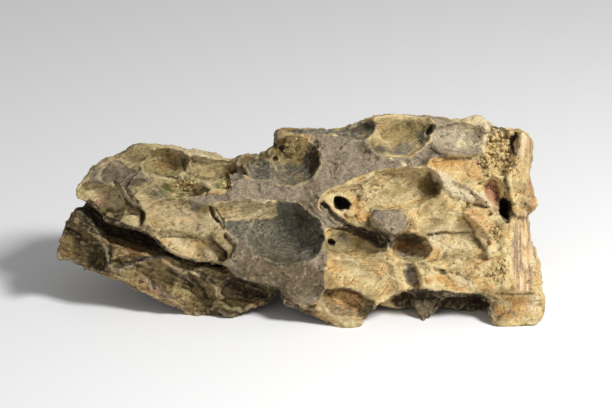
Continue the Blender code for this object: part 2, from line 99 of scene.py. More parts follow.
HOLLOWS = {
    "great hollow": Hollow(-9, 50, 0, 43, 32, 15, -18, 12, 12, 0.3),
    "great hollow's left end": Hollow(-27, 57, -1, 42, 18, 5, -8, 6, 8, 0.6),
    "top left hollow": Hollow(-72, 88, -9, 27, 15, 7, 0, 4, -6, 0.2),
    "upper hollow": Hollow(-6, 89, -3, 34, 26, 12, 0, 10, 0, 0.3),
    "upper hollow's left end": Hollow(-20, 88, -5, 24, 18, 6, 0, 6, 0, 0.5),
    "upper hollow's eye": Hollow(-13.2, 89.4, -9, 5, 2.6, 6, -10, 0, 0, 0.1),
    "top hollow": Hollow(55, 105, -4, 35, 27, 9, 12, -6, 0, 0.5),
    "top hollow's notch": Hollow(70, 105, -5, 8, 4, 6, 60, 0, 0, 0.3),
    "small top hollow": Hollow(35, 106, -6, 15, 11, 6, 25, 12, 0, 0.3),
    "long hollow": Hollow(53, 73.5, -1, 47, 21, 10, 8, 12, 4, 0.3),
    "long hollow's left end": Hollow(24, 69, -1, 26, 12, 4, 20, 0, 0, 0.5),
    "eye": Hollow(23.5, 65.5, -3, 10, 7, 12, -30, 0, 0, 0.1),
    "trough": Hollow(30, 44.5, 1, 38, 17, 10, -6, 8, 16, 0.3),
    "trough's eye": Hollow(17.5, 45.2, -3, 5, 2.6, 7, -35, 0, 0, 0.1),
    "ridge hole": Hollow(11.2, 48.2, 0, 3.6, 2.4, 6, -30, 0, 0, 0.1),
    "cave": Hollow(60.5, 42.5, 1, 23, 16, 17, 0, 8, 8, 0.1),
    "foot hollow": Hollow(27, 11, 3, 29, 17, 7, -25, 0, 8, 0.4),
    "yellow facet": Hollow(34, 26, 4.5, 42, 24, 3, -12, 0, 0, 0.8),
    "groove by the facet": Hollow(59, 27, 2, 12, 20, 4, 15, 0, 0, 0.6),
    "right plate": Hollow(85, 84, 1.5, 38, 14, 2, 4, 0, 0, 0.8),
    "cream strip": Hollow(88, 68, 0.8, 36, 11, 1.4, -28, 0, 0, 0.8),
    "right field": Hollow(78, 47, 1.5, 42, 26, 3, -10, 0, 0, 0.8),
    "grey shoulder": Hollow(86, 101, -3, 30, 14, 2.5, 0, 0, 20, 0.8),
    "tan plate": Hollow(-61, 58, -2.5, 42, 18, 2.5, -6, -6, 0, 0.8),
    "plate under the crack": Hollow(-56, 43, -2, 38, 12, 2, -18, -6, 0, 0.8),
    "olive scoop": Hollow(-47, 42, -1.0, 28, 13, 1.8, -20, 8, 0, 0.8),
    "red plate": Hollow(-106, 66, -12, 26, 18, 4, -35, -10, 0, 0.8),
    "mauve cap": Hollow(-94, 84, -11, 26, 13, 2, 25, -8, 14, 0.8),
    "cap's dimple": Hollow(-95.5, 79.5, -9, 7, 4.5, 3, 10, 0, 0, 0.4),
    "olive slope": Hollow(-46, 83, -8, 34, 12, 3, -8, 0, 20, 0.8),
    "moss band": Hollow(-58, 73, -6.0, 30, 7, 1.2, -8, 0, 0, 0.7),
    "green face": Hollow(-116, 40, -10, 32, 21, 7, -40, -14, 0, 0.5),
    "ledge hollow": Hollow(-80, 26, -9.5, 40, 17, 4, -20, 0, 10, 0.7),
    "ledge dish": Hollow(-57, 17, -10, 22, 18, 4, -30, 0, 10, 0.7),
    "ledge's right hollow": Hollow(-30, 17, -9, 26, 17, 5, 0, 0, 14, 0.6),
    "brick recess": Hollow(107, 69, -1.5, 12, 22, 7, 20, 0, 0, 0.3),
    "black hole": Hollow(111, 62, -4, 8, 14, 18, 12, 0, 0, 0.2),
    "crust hollow": Hollow(108, 94, -4, 15, 26, 4, 0, 0, 0, 0.6),
    "crust slot": Hollow(115, 98, -4, 5, 14, 8, -10, 0, 0, 0.2),
}

# An edge is a path with the plate on its left raised and the one on its right dropped: how far,
# and over what distance each returns to level
Edge = namedtuple("Edge", "path up reach down fall", defaults=(0.8, 5.0, 0.8, 3.0))

EDGES = {
    "left plate": Edge([(-99.6, 78), (-95.9, 72.5), (-92.9, 68.2), (-88, 64.5), (-83.7, 62),
                        (-82.1, 59.6), (-82.7, 55.3), (-83.7, 52)], 2.1, 9, 3.0, 3),
    "red plate's upper fold": Edge([(-92, 63.5), (-98, 61), (-105, 61.5)], 0.7, 2.5, 0.8, 2),
    "red plate's lower fold": Edge([(-86, 58.5), (-94, 59.3), (-101, 57.3)], 0.7, 2.5, 0.8, 2),
    "cap's facet": Edge([(-78.7, 78.6), (-83.7, 82.3), (-89, 85)], 0.5, 4, 0.5, 2),
    "top left hollow's sill": Edge([(-69.5, 79.2), (-76, 80.5), (-84, 82.3)], 0.6, 3, 0.8, 1.5),
    "cap's brow": Edge([(-99.6, 78), (-96, 74.2), (-93, 69)], 0.6, 3, 1.0, 2),
    "grey facet's top": Edge([(-78.2, 76.5), (-84, 75.6), (-90.4, 75)], 0.6, 5, 0.5, 2),
    "grey facet's side": Edge([(-70.2, 68.2), (-74, 72), (-78.2, 76.5)], 0.4, 3, 0.5, 2),
    "tan plate's top": Edge([(-61, 64.5), (-66, 63.8), (-70.8, 62.7)], 0.5, 3, 0.4, 2),
    "mauve over the scoop": Edge([(-39.9, 50.8), (-35.4, 45.4), (-34, 41.9), (-38.1, 35.1)],
                                 0.9, 6, 1.2, 4),
    "moss slot": Edge([(-37.1, 80.2), (-36.6, 74.7), (-39.5, 73)], 0.6, 4, 2.4, 3),
    "moss band's top": Edge([(-40, 80), (-46, 77.5), (-54.5, 79.5), (-63, 80)], 0.9, 4, 0.9, 2),
    "slope's end": Edge([(-33.5, 87.5), (-33, 84), (-36, 81)], 0.5, 3, 1.5, 3),
    "fold 1": Edge([(4.9, 66.5), (10.3, 61), (15.8, 53.5)], 0.4, 3, 0.3, 2.5),
    "fold 2": Edge([(3.5, 76), (6.9, 69.2), (11.7, 63.1)], 0.3, 3, 0.3, 2.5),
    "fold 3": Edge([(9, 72), (13.7, 65.1), (20.6, 59.7)], 0.5, 3, 0.4, 2.5),
    "fold 4": Edge([(7.6, 58.3), (12.4, 52.2)], 0.3, 3, 0.3, 2.5),
    "fold 5": Edge([(15.1, 59.3), (19.9, 55.6), (25, 54)], 0.4, 3, 0.4, 2.5),
    "trough's brow": Edge([(12.6, 68.5), (18.8, 60.7), (26.7, 55.6), (37.7, 51.5)], 1.2, 4, 1.4, 3),
    "knob's underside": Edge([(38.5, 60), (38.5, 54.4), (44.7, 51.3), (51, 46)], 1.4, 5, 1.6, 4),
    "yellow facet's side": Edge([(13.7, 39.5), (13.4, 29.3), (14.5, 19.1)], 0.4, 5, 0.2, 3),
    "yellow facet's brow": Edge([(14.1, 19.1), (24.3, 20.3), (33.8, 16.7), (42.4, 11.3)],
                                0.9, 4, 2.4, 4),
    "grey triangle": Edge([(63, 33), (64.4, 26), (65.9, 18)], 0.8, 5, 1.0, 4),
    "field's sill": Edge([(77, 36.8), (66.7, 33.6), (55.7, 34)], 0.8, 3, 0.4, 2),
    "field's lower plate": Edge([(93, 24.5), (86.4, 27), (76, 28.5), (69, 32.4)], 0.9, 6, 0.7, 2),
    "field's corner plate": Edge([(103.5, 21.6), (99.4, 26.7), (92, 32.4)], 0.6, 5, 0.5, 2),
    "field's wavy sill": Edge([(102, 34), (95, 35.8), (89.6, 34.6), (82, 36.4), (74, 35.6)],
                              0.7, 4, 0.6, 2),
    "field's groove": Edge([(65, 48.6), (73.2, 49.8), (84, 50.2), (94.5, 50.6)], 0.5, 3, 0.6, 2),
    "orange plate": Edge([(87, 60.6), (89.6, 57.4), (93.7, 52.1), (95.3, 47.1), (99.4, 42.2),
                          (101.9, 34.9)], 1.6, 9, 1.1, 3),
    "orange plate's top": Edge([(107.6, 60.3), (100.2, 63.5), (92, 63.1), (87, 60.6)],
                               0.9, 6, 0.7, 2),
    "cream strip": Edge([(72, 80.5), (81.4, 70.9), (92, 66.8), (100.2, 64.4), (104, 62.2)],
                        0.5, 6, 0.5, 4),
    "grey shoulder": Edge([(69.9, 96.3), (77.3, 91.8), (89.6, 91.4), (101.9, 93)], 0.9, 5, 1.2, 3),
    "shoulder's side": Edge([(101.9, 93), (102.3, 104.5), (101, 110)], 0.9, 3, 1.4, 3),
    "green face's rim": Edge([(-100.8, 32), (-102.1, 38.1), (-101.5, 41.2), (-103.9, 43),
                              (-108.8, 44.9), (-114.4, 46.7)], 0.9, 3, 1.0, 3),
    "ledge ridge": Edge([(-64.6, 37.5), (-76.9, 36.4), (-89.2, 33.4), (-100.2, 30.3)],
                        0.9, 3, 0.9, 4),
    "ledge fold": Edge([(-78, 17), (-79.4, 22.4), (-84, 27), (-90, 29.8), (-99, 30.5)],
                       0.9, 4, 0.9, 3),
    "ledge plate": Edge([(-58.5, 29.5), (-54.5, 24.2), (-50.4, 19.4), (-48.7, 15.3), (-46.5, 13.8)],
                        1.6, 6, 2.0, 4),
    "ledge plate's foot": Edge([(-46.5, 14.2), (-42, 14), (-36.1, 15), (-30, 14.5)],
                               0.7, 4, 0.9, 3),
    "tongue": Edge([(110.8, 85), (111.8, 78), (113.2, 70), (114.6, 63), (118, 59), (123, 58.2),
                    (127.5, 60.5)], 1.1, 4, 1.5, 2.5),
    "pillar": Edge([(114.2, 104), (115, 97), (113.8, 89)], 0.7, 3, 0.9, 2),
    "knob's right": Edge([(49, 45.5), (53, 48), (57.5, 51), (58.8, 55), (57.5, 59)], 0.5, 4, 0.7, 2.5),
    "knob's top": Edge([(57.5, 59), (53, 62.5), (47, 61.8), (41.5, 63), (38.5, 60.5)],
                       0.5, 4, 0.6, 2.5),
    "foot block": Edge([(106, 2.1), (103.5, 9), (104.3, 15.4)], 0.0, 3, 1.0, 3),
}

# A crack is a groove along a path, of this depth and width
Crack = namedtuple("Crack", "path depth width", defaults=(1.0, 0.6))

CRACKS = [
    Crack([(-73, 81), (-69, 79.8), (-64, 78.8)], 1.8, 1.0),
    Crack([(-67.7, 70.4), (-60, 70.8), (-53, 70.2), (-47, 70.6), (-40, 72)], 0.9, 0.5),
    Crack([(-75.5, 47.3), (-66, 47.7), (-60, 47.4), (-52.5, 47)], 1.3, 0.45),
    Crack([(-47.4, 65.3), (-45.7, 59.7), (-42.9, 55.6), (-39.7, 50.6)], 2.4, 0.6),
    Crack([(-47.2, 65.8), (-42.9, 60.6), (-40.5, 56.3), (-39.7, 51.0)], 0.9, 0.4),
    Crack([(-10.2, 97.2), (-6.7, 92.5), (-3.3, 89)], 2.0, 0.9),
    Crack([(-24, 87.2), (-20.6, 86.2)], 1.2, 0.5),
    Crack([(103, 18), (114, 17.2), (127, 17.6)], 0.9, 0.8),
    Crack([(66, 50), (73, 49.6), (84, 50.2), (94, 50)], 0.6, 0.5),
    Crack([(-100, 24), (-90, 20.5), (-81, 15)], 0.8, 0.7),
    Crack([(-72, 30), (-62, 25), (-56, 20)], 0.8, 0.7),
]

# A bump: its middle, width, height across the face, turn and how far it stands out
Bump = namedtuple("Bump", "u v across tall turn out")

BUMPS = [Bump(*row) for row in [
    (-1, 94.5, 13, 11, 20, 2.4), (-14, 93, 12, 5, 0, 1.0), (49.5, 56.5, 15, 11, 0, 1.6),
    (30.5, 56, 3, 2, -20, 0.8), (58, 30, 3.2, 2.6, 0, 1.0), (80, 75, 9, 5, -35, 0.6),
    (90, 70, 10, 6, -15, 0.6), (99, 68, 7, 6, -40, 0.7), (-119.3, 54.3, 5, 4, 0, 1.0),
    (-112, 69, 8, 6, 20, 0.8), (100.5, 101, 3, 16, 0, 0.9), (93, 109, 13, 5, -15, 0.9),
    (119, 97, 9, 17, -8, 2.6), (109.5, 71, 2.6, 15, 8, 2.6), (118.5, 73, 13, 25, 6, 2.8),
    (114, 88.5, 12, 5, 25, 1.6), (106.5, 54.5, 9, 12, 35, 0.8), (-58, 75.5, 12, 5, -8, 1.0),
    (-43.5, 42, 15, 15, -20, 2.6), (-36.5, 42, 7, 13, 20, -1.0),
]]


def curve_through(points, steps=6):
    """The points with a smooth curve between them."""
    if len(points) < 3:
        return np.array(points, float)
    ends = [2 * np.array(points[0]) - points[1], *map(np.array, points),
            2 * np.array(points[-1]) - points[-2]]
    made = []
    for a, b, c, d in zip(ends, ends[1:], ends[2:], ends[3:]):
        for t in np.arange(steps) / steps:
            made.append(0.5 * (2 * b + (c - a) * t + (2 * a - 5 * b + 4 * c - d) * t ** 2
                               + (3 * b - a - 3 * c + d) * t ** 3))
    made.append(ends[-2])
    return np.array(made)


def ramp(value, low, high):
    """0 below low, 1 above high and a soft slope between."""
    t = np.clip((value - low) / (high - low), 0, 1)
    return t * t * (3 - 2 * t)


# How far each seed moves the noise and the cells
NOISE_SHIFT = (17.3, 9.1, 5.7)
CELL_SHIFT = (3.7, 8.3, 1.9)


def rough(places, size, octaves=1, seed=0):
    """Noise from about -1 to 1 at each place, with swells of this size in millimetres."""
    shift = np.array(NOISE_SHIFT) * seed
    return np.array([noise.fractal(p, 1.0, 2.0, octaves) for p in (places / size + shift).tolist()])


def swirls(places, size, octaves, seeds):
    """Three noises side by side, to stray by."""
    return np.stack([rough(places, size, octaves, seed) for seed in seeds], axis=1)


def numbers(items, field, width, kind):
    """A field of every item, in rows of this width."""
    flat = np.empty(len(items) * width, kind)
    items.foreach_get(field, flat)
    return flat.reshape(-1, width)


class Skin:
    """A mesh's vertices in face millimetres, with the steps that shape them."""

    def __init__(self, mesh):
        self.mesh = mesh
        self.place = (numbers(mesh.vertices, "co", 3, float) / MM - FACE_ORIGIN) @ AXES
        self.edges = numbers(mesh.edges, "vertices", 2, int)
        self.neighbours = np.bincount(self.edges.ravel(), minlength=len(mesh.vertices))
        mesh.calc_loop_triangles()
        self.triangles = numbers(mesh.loop_triangles, "vertices", 3, int)
        self.turn_outward()

    def turn_outward(self):
        """Works out each vertex's outward direction again."""
        a, b, c = (self.place[self.triangles[:, i]] for i in range(3))
        square = np.cross(b - a, c - a)
        total = np.zeros_like(self.place)
        for axis in range(3):
            for corner in range(3):
                total[:, axis] += np.bincount(
                    self.triangles[:, corner], square[:, axis], len(self.place))
        self.normal = total / np.maximum(np.linalg.norm(total, axis=1, keepdims=True), 1e-9)
        self.facing = self.normal[:, 2]

    def evened(self, values, rounds):
        """Values averaged with those of the neighbouring vertices, so many times."""
        first, second = self.edges.T
        for _ in range(rounds):
            total = np.stack([
                np.bincount(first, column[second], len(values))
                + np.bincount(second, column[first], len(values))
                for column in values.reshape(len(values), -1).T
            ], axis=1).reshape(values.shape)
            share = self.neighbours if values.ndim == 1 else self.neighbours[:, None]
            values = 0.5 * values + 0.5 * total / share
        return values

    def sunk(self, rounds):
        """How far each vertex lies below the skin when evened this much."""
        return ((self.evened(self.place, rounds) - self.place) * self.normal).sum(axis=1)

    def sharpen(self, rounds, gain):
        """Moves the skin away from what it would be when evened this much."""
        self.place += gain * (self.place - self.evened(self.place, rounds))
        self.turn_outward()

    def push(self, distance):
        """Moves each vertex along its own outward direction."""
        self.place += self.normal * np.asarray(distance)[:, None]
        self.turn_outward()

    def push_out(self, distance):
        """Moves each vertex straight out of the face."""
        self.place[:, 2] += distance
        self.turn_outward()

    def store(self):
        """Writes the places back to the mesh."""
        flat = (self.place @ AXES.T + FACE_ORIGIN) * MM
        self.mesh.vertices.foreach_set("co", flat.ravel())
        self.mesh.update()


def add_object(name, data):
    """A new object in the scene."""
    obj = bpy.data.objects.new(name, data)
    bpy.context.scene.collection.objects.link(obj)
    return obj


def add_mesh(name, bm):
    """A new object in the scene with what was built in bm, which is freed."""
    mesh = bpy.data.meshes.new(name)
    bm.to_mesh(mesh)
    bm.free()
    return add_object(name, mesh)


def apply_modifiers(obj):
    """Replaces the object's mesh with its evaluated one."""
    depsgraph = bpy.context.evaluated_depsgraph_get()
    mesh = bpy.data.meshes.new_from_object(obj.evaluated_get(depsgraph))
    obj.modifiers.clear()
    old = obj.data
    obj.data = mesh
    bpy.data.meshes.remove(old)


def even_skin(obj, voxel):
    """Builds the object's skin again from even steps of this many millimetres."""
    skin = obj.modifiers.new("even skin", "REMESH")
    skin.mode = "VOXEL"
    skin.voxel_size = voxel * MM
    skin.use_smooth_shade = True
    apply_modifiers(obj)


def packed_stone():
    """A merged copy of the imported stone, with an even skin."""
    bm = bmesh.new()
    bm.from_mesh(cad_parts[NODE].data)
    bmesh.ops.remove_doubles(bm, verts=bm.verts, dist=MERGE)
    stone = add_mesh("weathered_stone", bm)
    even_skin(stone, SKIN_VOXEL * FIRST_SKIN)
    return stone


def hollow_frame(hollow):
    """The matrix that takes a unit ball to the hollow's ellipsoid."""
    height = hollow.mouth * hollow.deep
    reach = height + hollow.deep
    spread = 1.0 / math.sqrt(1.0 - (height / reach) ** 2)
    return (
        Matrix.Translation((hollow.u, hollow.v, hollow.w))
        @ Matrix.Rotation(math.radians(hollow.turn), 4, "Z")
        @ Matrix.Rotation(math.radians(hollow.right), 4, "Y")
        @ Matrix.Rotation(math.radians(-hollow.up), 4, "X")
        @ Matrix.Translation((0, 0, height))
        @ Matrix.Diagonal((hollow.across / 2 * spread, hollow.tall / 2 * spread, reach, 1.0))
    )


def in_ball(skin, hollow, warp):
    """The skin's places where the hollow's ellipsoid is a unit ball, and the way into it there."""
    matrix = np.array(hollow_frame(hollow).inverted())
    return (skin.place + warp) @ matrix[:3, :3].T + matrix[:3, 3], matrix[:3, :3] @ -OUTWARD


def press(skin, hollow, warp):
    """Moves what is inside the hollow's ellipsoid straight back onto it, and lifts a lip round it."""
    local, inward = in_ball(skin, hollow, warp)
    a = inward @ inward
    b = local @ inward
    c = (local * local).sum(axis=1) - 1
    inside = (c < 0) & (skin.facing > HOLLOW_FACING)
    back = np.where(inside, (np.sqrt(np.maximum(b * b - a * c, 0)) - b) / a, 0)
    gap = np.sqrt(c + 1) - 1
    width = LIP_WIDTH / min(hollow.across, hollow.tall) * 2
    rim = np.exp(-(gap / width) ** 2) * (gap > 0)
    skin.place[:, 2] += LIP_HEIGHT * rim * (skin.facing > 0.3) - back


# Between these shares of its reach a hollow ends, as the coats inside it see it
HOLLOW_END = (1.01, 1.05)


def within(skin, hollow, warp):
    """1 where the skin lies in the hollow, out to its rim."""
    local, _ = in_ball(skin, hollow, warp)
    return (1 - ramp(np.linalg.norm(local, axis=1), *HOLLOW_END)) * (skin.facing > HOLLOW_FACING)


# The swirls that outlines, fine marks and coats stray by: their size in millimetres, octaves and seeds
OUTLINE_SWIRLS = (9, 3, (1, 2, 3))
MARK_SWIRLS = (6, 2, (4, 5, 6))
COAT_SWIRLS = (5, 2, (11, 12, 13))

# How far they stray in millimetres, outlines across, up and out of the face
OUTLINE_STRAY = (1.5, 1.5, 0.6)
MARK_STRAY = 0.7
COAT_STRAY = 0.8

# The edges of plates stray by this share of what outlines do
EDGE_STRAY = 0.6


def wobble(skin):
    """How far outlines on the face stray, the same on every skin."""
    flat = skin.place * (1, 1, 0)
    return swirls(flat, *OUTLINE_SWIRLS) * OUTLINE_STRAY


def beside(path, u, v):
    """The signed distance to a path, positive on its left, and 0 to 1 along it."""
    points = curve_through(path)
    start, step = points[:-1], np.diff(points, axis=0)
    length = np.linalg.norm(step, axis=1)
    gone = np.concatenate([[0], np.cumsum(length)])
    nearest = np.full(len(u), 1e9)
    side, along = np.zeros(len(u)), np.zeros(len(u))
    for i in range(len(step)):
        du, dv = u - start[i, 0], v - start[i, 1]
        t = np.clip((du * step[i, 0] + dv * step[i, 1]) / length[i] ** 2, 0, 1)
        gap = np.hypot(du - t * step[i, 0], dv - t * step[i, 1])
        closer = gap < nearest
        nearest = np.where(closer, gap, nearest)
        side = np.where(closer, np.sign(step[i, 0] * dv - step[i, 1] * du), side)
        along = np.where(closer, (gone[i] + t * length[i]) / gone[-1], along)
    return side * nearest, along


# Half the width of an area's soft border, in millimetres
AREA_BORDER = 1.2


def within_outline(skin, outline, warp):
    """1 inside a closed outline, 0 outside it and a soft slope at its border."""
    u, v, _ = (skin.place + warp * 0.5).T
    closed = [*outline, outline[0]]
    gap = np.full(len(u), 1e9)
    crossings = np.zeros(len(u), int)
    for (u0, v0), (u1, v1) in zip(closed, closed[1:]):
        t = np.clip(((u - u0) * (u1 - u0) + (v - v0) * (v1 - v0))
                    / ((u1 - u0) ** 2 + (v1 - v0) ** 2), 0, 1)
        gap = np.minimum(gap, np.hypot(u - u0 - t * (u1 - u0), v - v0 - t * (v1 - v0)))
        if v0 != v1:
            crossings += ((v0 > v) != (v1 > v)) & (u < u0 + (v - v0) * (u1 - u0) / (v1 - v0))
    signed = np.where(crossings % 2 == 1, gap, -gap)
    return ramp(signed, -AREA_BORDER, AREA_BORDER)


def near(skin, path, margin):
    """Vertices that face out and lie within a margin of a path's own box."""
    points = np.array(path)
    low, high = points.min(axis=0) - margin, points.max(axis=0) + margin
    u, v = skin.place[:, 0], skin.place[:, 1]
    return (u > low[0]) & (u < high[0]) & (v > low[1]) & (v < high[1]) & (skin.facing > 0)


def fading(along, share):
    """1 along a path, with a soft slope to 0 over this share of it at each end."""
    return ramp(along, 0, share) * ramp(1 - along, 0, share)


# The share of an edge and of a crack over which each end fades, and the facing over which cuts do
EDGE_FADE = 0.12
CRACK_FADE = 0.15
CUT_FACING = (0.05, 0.4)


def cut_edge(skin, edge, warp):
    """Raises the plate on the edge's left and drops the one on its right."""
    pick = near(skin, edge.path, 3 * max(edge.reach, edge.fall))
    u, v, _ = (skin.place + warp)[pick].T
    gap, along = beside(edge.path, u, v)
    fade = fading(along, EDGE_FADE) * ramp(skin.facing[pick], *CUT_FACING)
    left = 0.5 + 0.5 * np.tanh(gap / EDGE_SOFTNESS)
    move = left * edge.up * np.exp(-np.abs(gap) / edge.reach)
    move -= (1 - left) * edge.down * np.exp(-np.abs(gap) / edge.fall)
    skin.place[pick, 2] += STEP_GAIN * move * fade


def cut_crack(skin, crack, warp):
    """Cuts a groove along the crack's path."""
    pick = near(skin, crack.path, 4 * crack.width)
    u, v, _ = (skin.place + warp)[pick].T
    gap, along = beside(crack.path, u, v)
    fade = fading(along, CRACK_FADE) * ramp(skin.facing[pick], *CUT_FACING)
    skin.place[pick, 2] -= crack.depth * np.exp(-(gap / crack.width) ** 2) * fade


def ellipse(skin, u, v, across, tall, turn, warp=0.0):
    """Distance from an ellipse's middle as a share of its rim's."""
    du, dv = (skin.place + warp)[:, 0] - u, (skin.place + warp)[:, 1] - v
    c, s = math.cos(math.radians(turn)), math.sin(math.radians(turn))
    return np.hypot((c * du + s * dv) / (across / 2), (c * dv - s * du) / (tall / 2))


def raise_bump(skin, bump, warp):
    """Lifts a flat-topped bump out of the face."""
    share = ellipse(skin, bump.u, bump.v, bump.across, bump.tall, bump.turn, warp)
    skin.place[:, 2] += bump.out * np.exp(-share ** 4) * ramp(skin.facing, 0.0, 0.4)


# How far the cells are spread for each to draw a tilt of its own, and how far a grain reaches as a
# share of its size
TILT_SPREAD = 7.3
GRAIN_REACH = 0.62


def facets(skin, size, seed):
    """A broken surface: each cell of about this size is a plane with a tilt of its own."""
    shift = Vector(CELL_SHIFT) * seed
    heights = []
    for p in (skin.place / size).tolist():
        spot = Vector(p) + shift
        middle = noise.voronoi(spot)[1][0]
        tilt = noise.cell_vector(middle * TILT_SPREAD)
        heights.append((spot - middle).dot(tilt * 2 - Vector((1, 1, 1))) + 0.5 * tilt.x - 0.25)
    return np.array(heights) * size


def grains(skin, size, seed):
    """Round grains packed side by side, 1 at the top of each and 0 or less between them."""
    shift = Vector(CELL_SHIFT) * seed
    spots = (skin.place / size).tolist()
    gaps = np.array([noise.voronoi(Vector(p) + shift)[0][0] for p in spots])
    return 1 - (gaps / GRAIN_REACH) ** 2


# Scoops on the sides the photograph doesn't show: the seed of their draws, how many are tried,
# their reach in millimetres, and as shares of it their depth and how close two of them come
SCOOP_SEED = 41
SCOOPS = 170
SCOOP_REACH = (9.0, 24.0)
SCOOP_DEPTH = 0.19
SCOOP_SPACING = 0.75

# How far out of round they are, and the height and width of their lips in millimetres
SCOOP_STRETCH = (0.6, 1.1)
SCOOP_LIP_HEIGHT = 0.5
SCOOP_LIP_WIDTH = 1.6

# They fade in between these depths behind the face, which is known in squares of this size
SCOOP_BEHIND = (14, 22)
SCOOP_SQUARE = 4


def depth_behind_face(skin):
    """How far each vertex lies behind the foremost one at its place on the face."""
    squares = np.floor(skin.place[:, :2] / SCOOP_SQUARE).astype(int)
    square = np.unique(squares, axis=0, return_inverse=True)[1].ravel()
    front = np.full(square.max() + 1, -1e9)
    np.maximum.at(front, square, skin.place[:, 2])
    return front[square] - skin.place[:, 2]


def scoop_unseen_sides(skin):
    """Presses seeded round hollows with crisp rims into the back, top and ends."""
    draw = random.Random(SCOOP_SEED)
    away = np.flatnonzero(skin.facing < 0.1)
    behind = ramp(depth_behind_face(skin), *SCOOP_BEHIND)
    taken = []
    for _ in range(SCOOPS):
        middle = away[draw.randrange(len(away))]
        reach = draw.uniform(*SCOOP_REACH)
        if any(np.linalg.norm(skin.place[middle] - place) < SCOOP_SPACING * (reach + other)
               for place, other in taken):
            continue
        taken.append((skin.place[middle].copy(), reach))
        stretch = np.array([draw.uniform(*SCOOP_STRETCH) for _ in range(3)])
        out = skin.normal[middle]
        gap = np.linalg.norm((skin.place - skin.place[middle]) * stretch, axis=1) / reach
        hold = ramp(-skin.facing, -0.15, 0.1) * ramp(skin.normal @ out, 0.2, 0.6)
        bowl = np.clip(1 - gap * gap, 0, 1) * reach * SCOOP_DEPTH
        lip = np.exp(-((gap - 1) * reach / SCOOP_LIP_WIDTH) ** 2) * (gap > 1) * SCOOP_LIP_HEIGHT
        skin.place += out * ((lip - bowl) * hold * behind)[:, None]
    smooth = skin.evened(skin.place, 3)
    skin.place += (smooth - skin.place) * ramp(-skin.facing, 0.0, 0.3)[:, None]
    skin.turn_outward()


def keep_off_floor(skin):
    """Flattens onto the floor whatever came out below it."""
    height = (skin.place @ AXES.T + FACE_ORIGIN)[:, 2]
    skin.place += np.maximum(-height, 0)[:, None] * AXES[2]


# Loose round grains on the crusts: the seed of their draws, how many, their radii in millimetres, how
# far out of round they are, how far up each sits as a share of its radius, and how much wear and
# painted highlight they take
GRAIN_SEED = 7
GRAINS = 420
GRAIN_RADIUS = (0.45, 1.25)
GRAIN_STRETCH = (0.75, 1.2)
GRAIN_SEAT = 0.3
GRAIN_WEAR_AND_HIGHLIGHT = 0.4


def add_grains(skin):
    """Grains sunk into the crusts, one mesh."""
    draw = random.Random(GRAIN_SEED)
    zone = patch_share(skin, COATS["crust"], 0.0) * ramp(skin.facing, -0.2, 0.2)
    spots = np.flatnonzero(zone > 0.5)
    bm = bmesh.new()
    for _ in range(GRAINS):
        spot = spots[draw.randrange(len(spots))]
        size = draw.triangular(*GRAIN_RADIUS, GRAIN_RADIUS[0])
        stretch = [size * draw.uniform(*GRAIN_STRETCH) for _ in range(3)]
        place = Matrix.Translation(Vector(skin.place[spot] + skin.normal[spot] * size * GRAIN_SEAT))
        axis_turn = draw.uniform(0, math.tau)
        turn = Matrix.Rotation(axis_turn, 4, Vector((draw.random(), 1, draw.random())))
        bmesh.ops.create_icosphere(bm, subdivisions=1, radius=1.0,
                                   matrix=place @ turn @ Matrix.Diagonal((*stretch, 1.0)))
    to_row = Matrix.Translation(FACE_ORIGIN * MM) @ FACE.to_4x4() @ Matrix.Scale(MM, 4)
    bm.transform(to_row)
    made = add_mesh("crust_grains", bm)
    paint(made.data, "crust", np.ones(len(made.data.vertices)))
    # The grains take some wear and painted highlight all over
    paint(made.data, "wear_and_highlight", np.full(len(made.data.vertices), GRAIN_WEAR_AND_HIGHLIGHT))
    return made


def decimate(obj, ratio, group=""):
    """Leaves this share of the object's triangles. With a group, only the group is thinned."""
    thin = obj.modifiers.new("thin out", "DECIMATE")
    thin.ratio = ratio
    thin.vertex_group = group
    apply_modifiers(obj)


def drop_crumbs(obj):
    """Deletes whatever isn't joined to the stone itself."""
    bm = bmesh.new()
    bm.from_mesh(obj.data)
    loose = set(bm.verts)
    while loose:
        island, front = set(), [loose.pop()]
        while front:
            vert = front.pop()
            island.add(vert)
            joined = {edge.other_vert(vert) for edge in vert.link_edges} & loose
            loose -= joined
            front.extend(joined)
        if len(island) < CRUMB:
            bmesh.ops.delete(bm, geom=list(island), context="VERTS")
    bm.to_mesh(obj.data)
    bm.free()


def thin_out(obj, skin):
    """Takes triangles away: where the photograph doesn't look, and then a few everywhere."""
    hidden = skin.facing < -0.05
    count = len(skin.triangles)
    shown = count - int(hidden[skin.triangles].any(axis=1).sum())
    group = obj.vertex_groups.new(name="hidden")
    group.add(np.flatnonzero(hidden).tolist(), 1.0, "REPLACE")
    decimate(obj, min(1.0, (shown + HIDDEN_TRIANGLES) / count), "hidden")
    obj.vertex_groups.clear()
    decimate(obj, min(1.0, SKIN_TRIANGLES / (shown + HIDDEN_TRIANGLES)))
    drop_crumbs(obj)


# The widest soft border of a patch, in millimetres
PATCH_BORDER = 3.2


def patch_share(skin, patches, warp):
    """How much of a coat's patches lies at each vertex, with wide soft borders."""
    amount = np.zeros(len(skin.place))
    for patch in patches:
        share = ellipse(skin, *patch[:5], warp)
        soft = min(0.5, PATCH_BORDER / min(patch.across, patch.tall))
        amount = np.maximum(amount, patch.amount * (1 - ramp(share, 1 - soft, 1 + soft)))
    return amount


def paint(mesh, name, values):
    """Keeps a value from 0 to 1 at every vertex."""
    layer = mesh.attributes.new(name, "FLOAT", "POINT")
    layer.data.foreach_set("value", np.clip(values, 0, 1).astype(np.float32))


def painted(mesh, name):
    """The values kept under a name, taken off the mesh again."""
    layer = mesh.attributes[name]
    values = np.empty(len(mesh.vertices), np.float32)
    layer.data.foreach_get("value", values)
    mesh.attributes.remove(layer)
    return values.astype(float)


LINING = "lining "


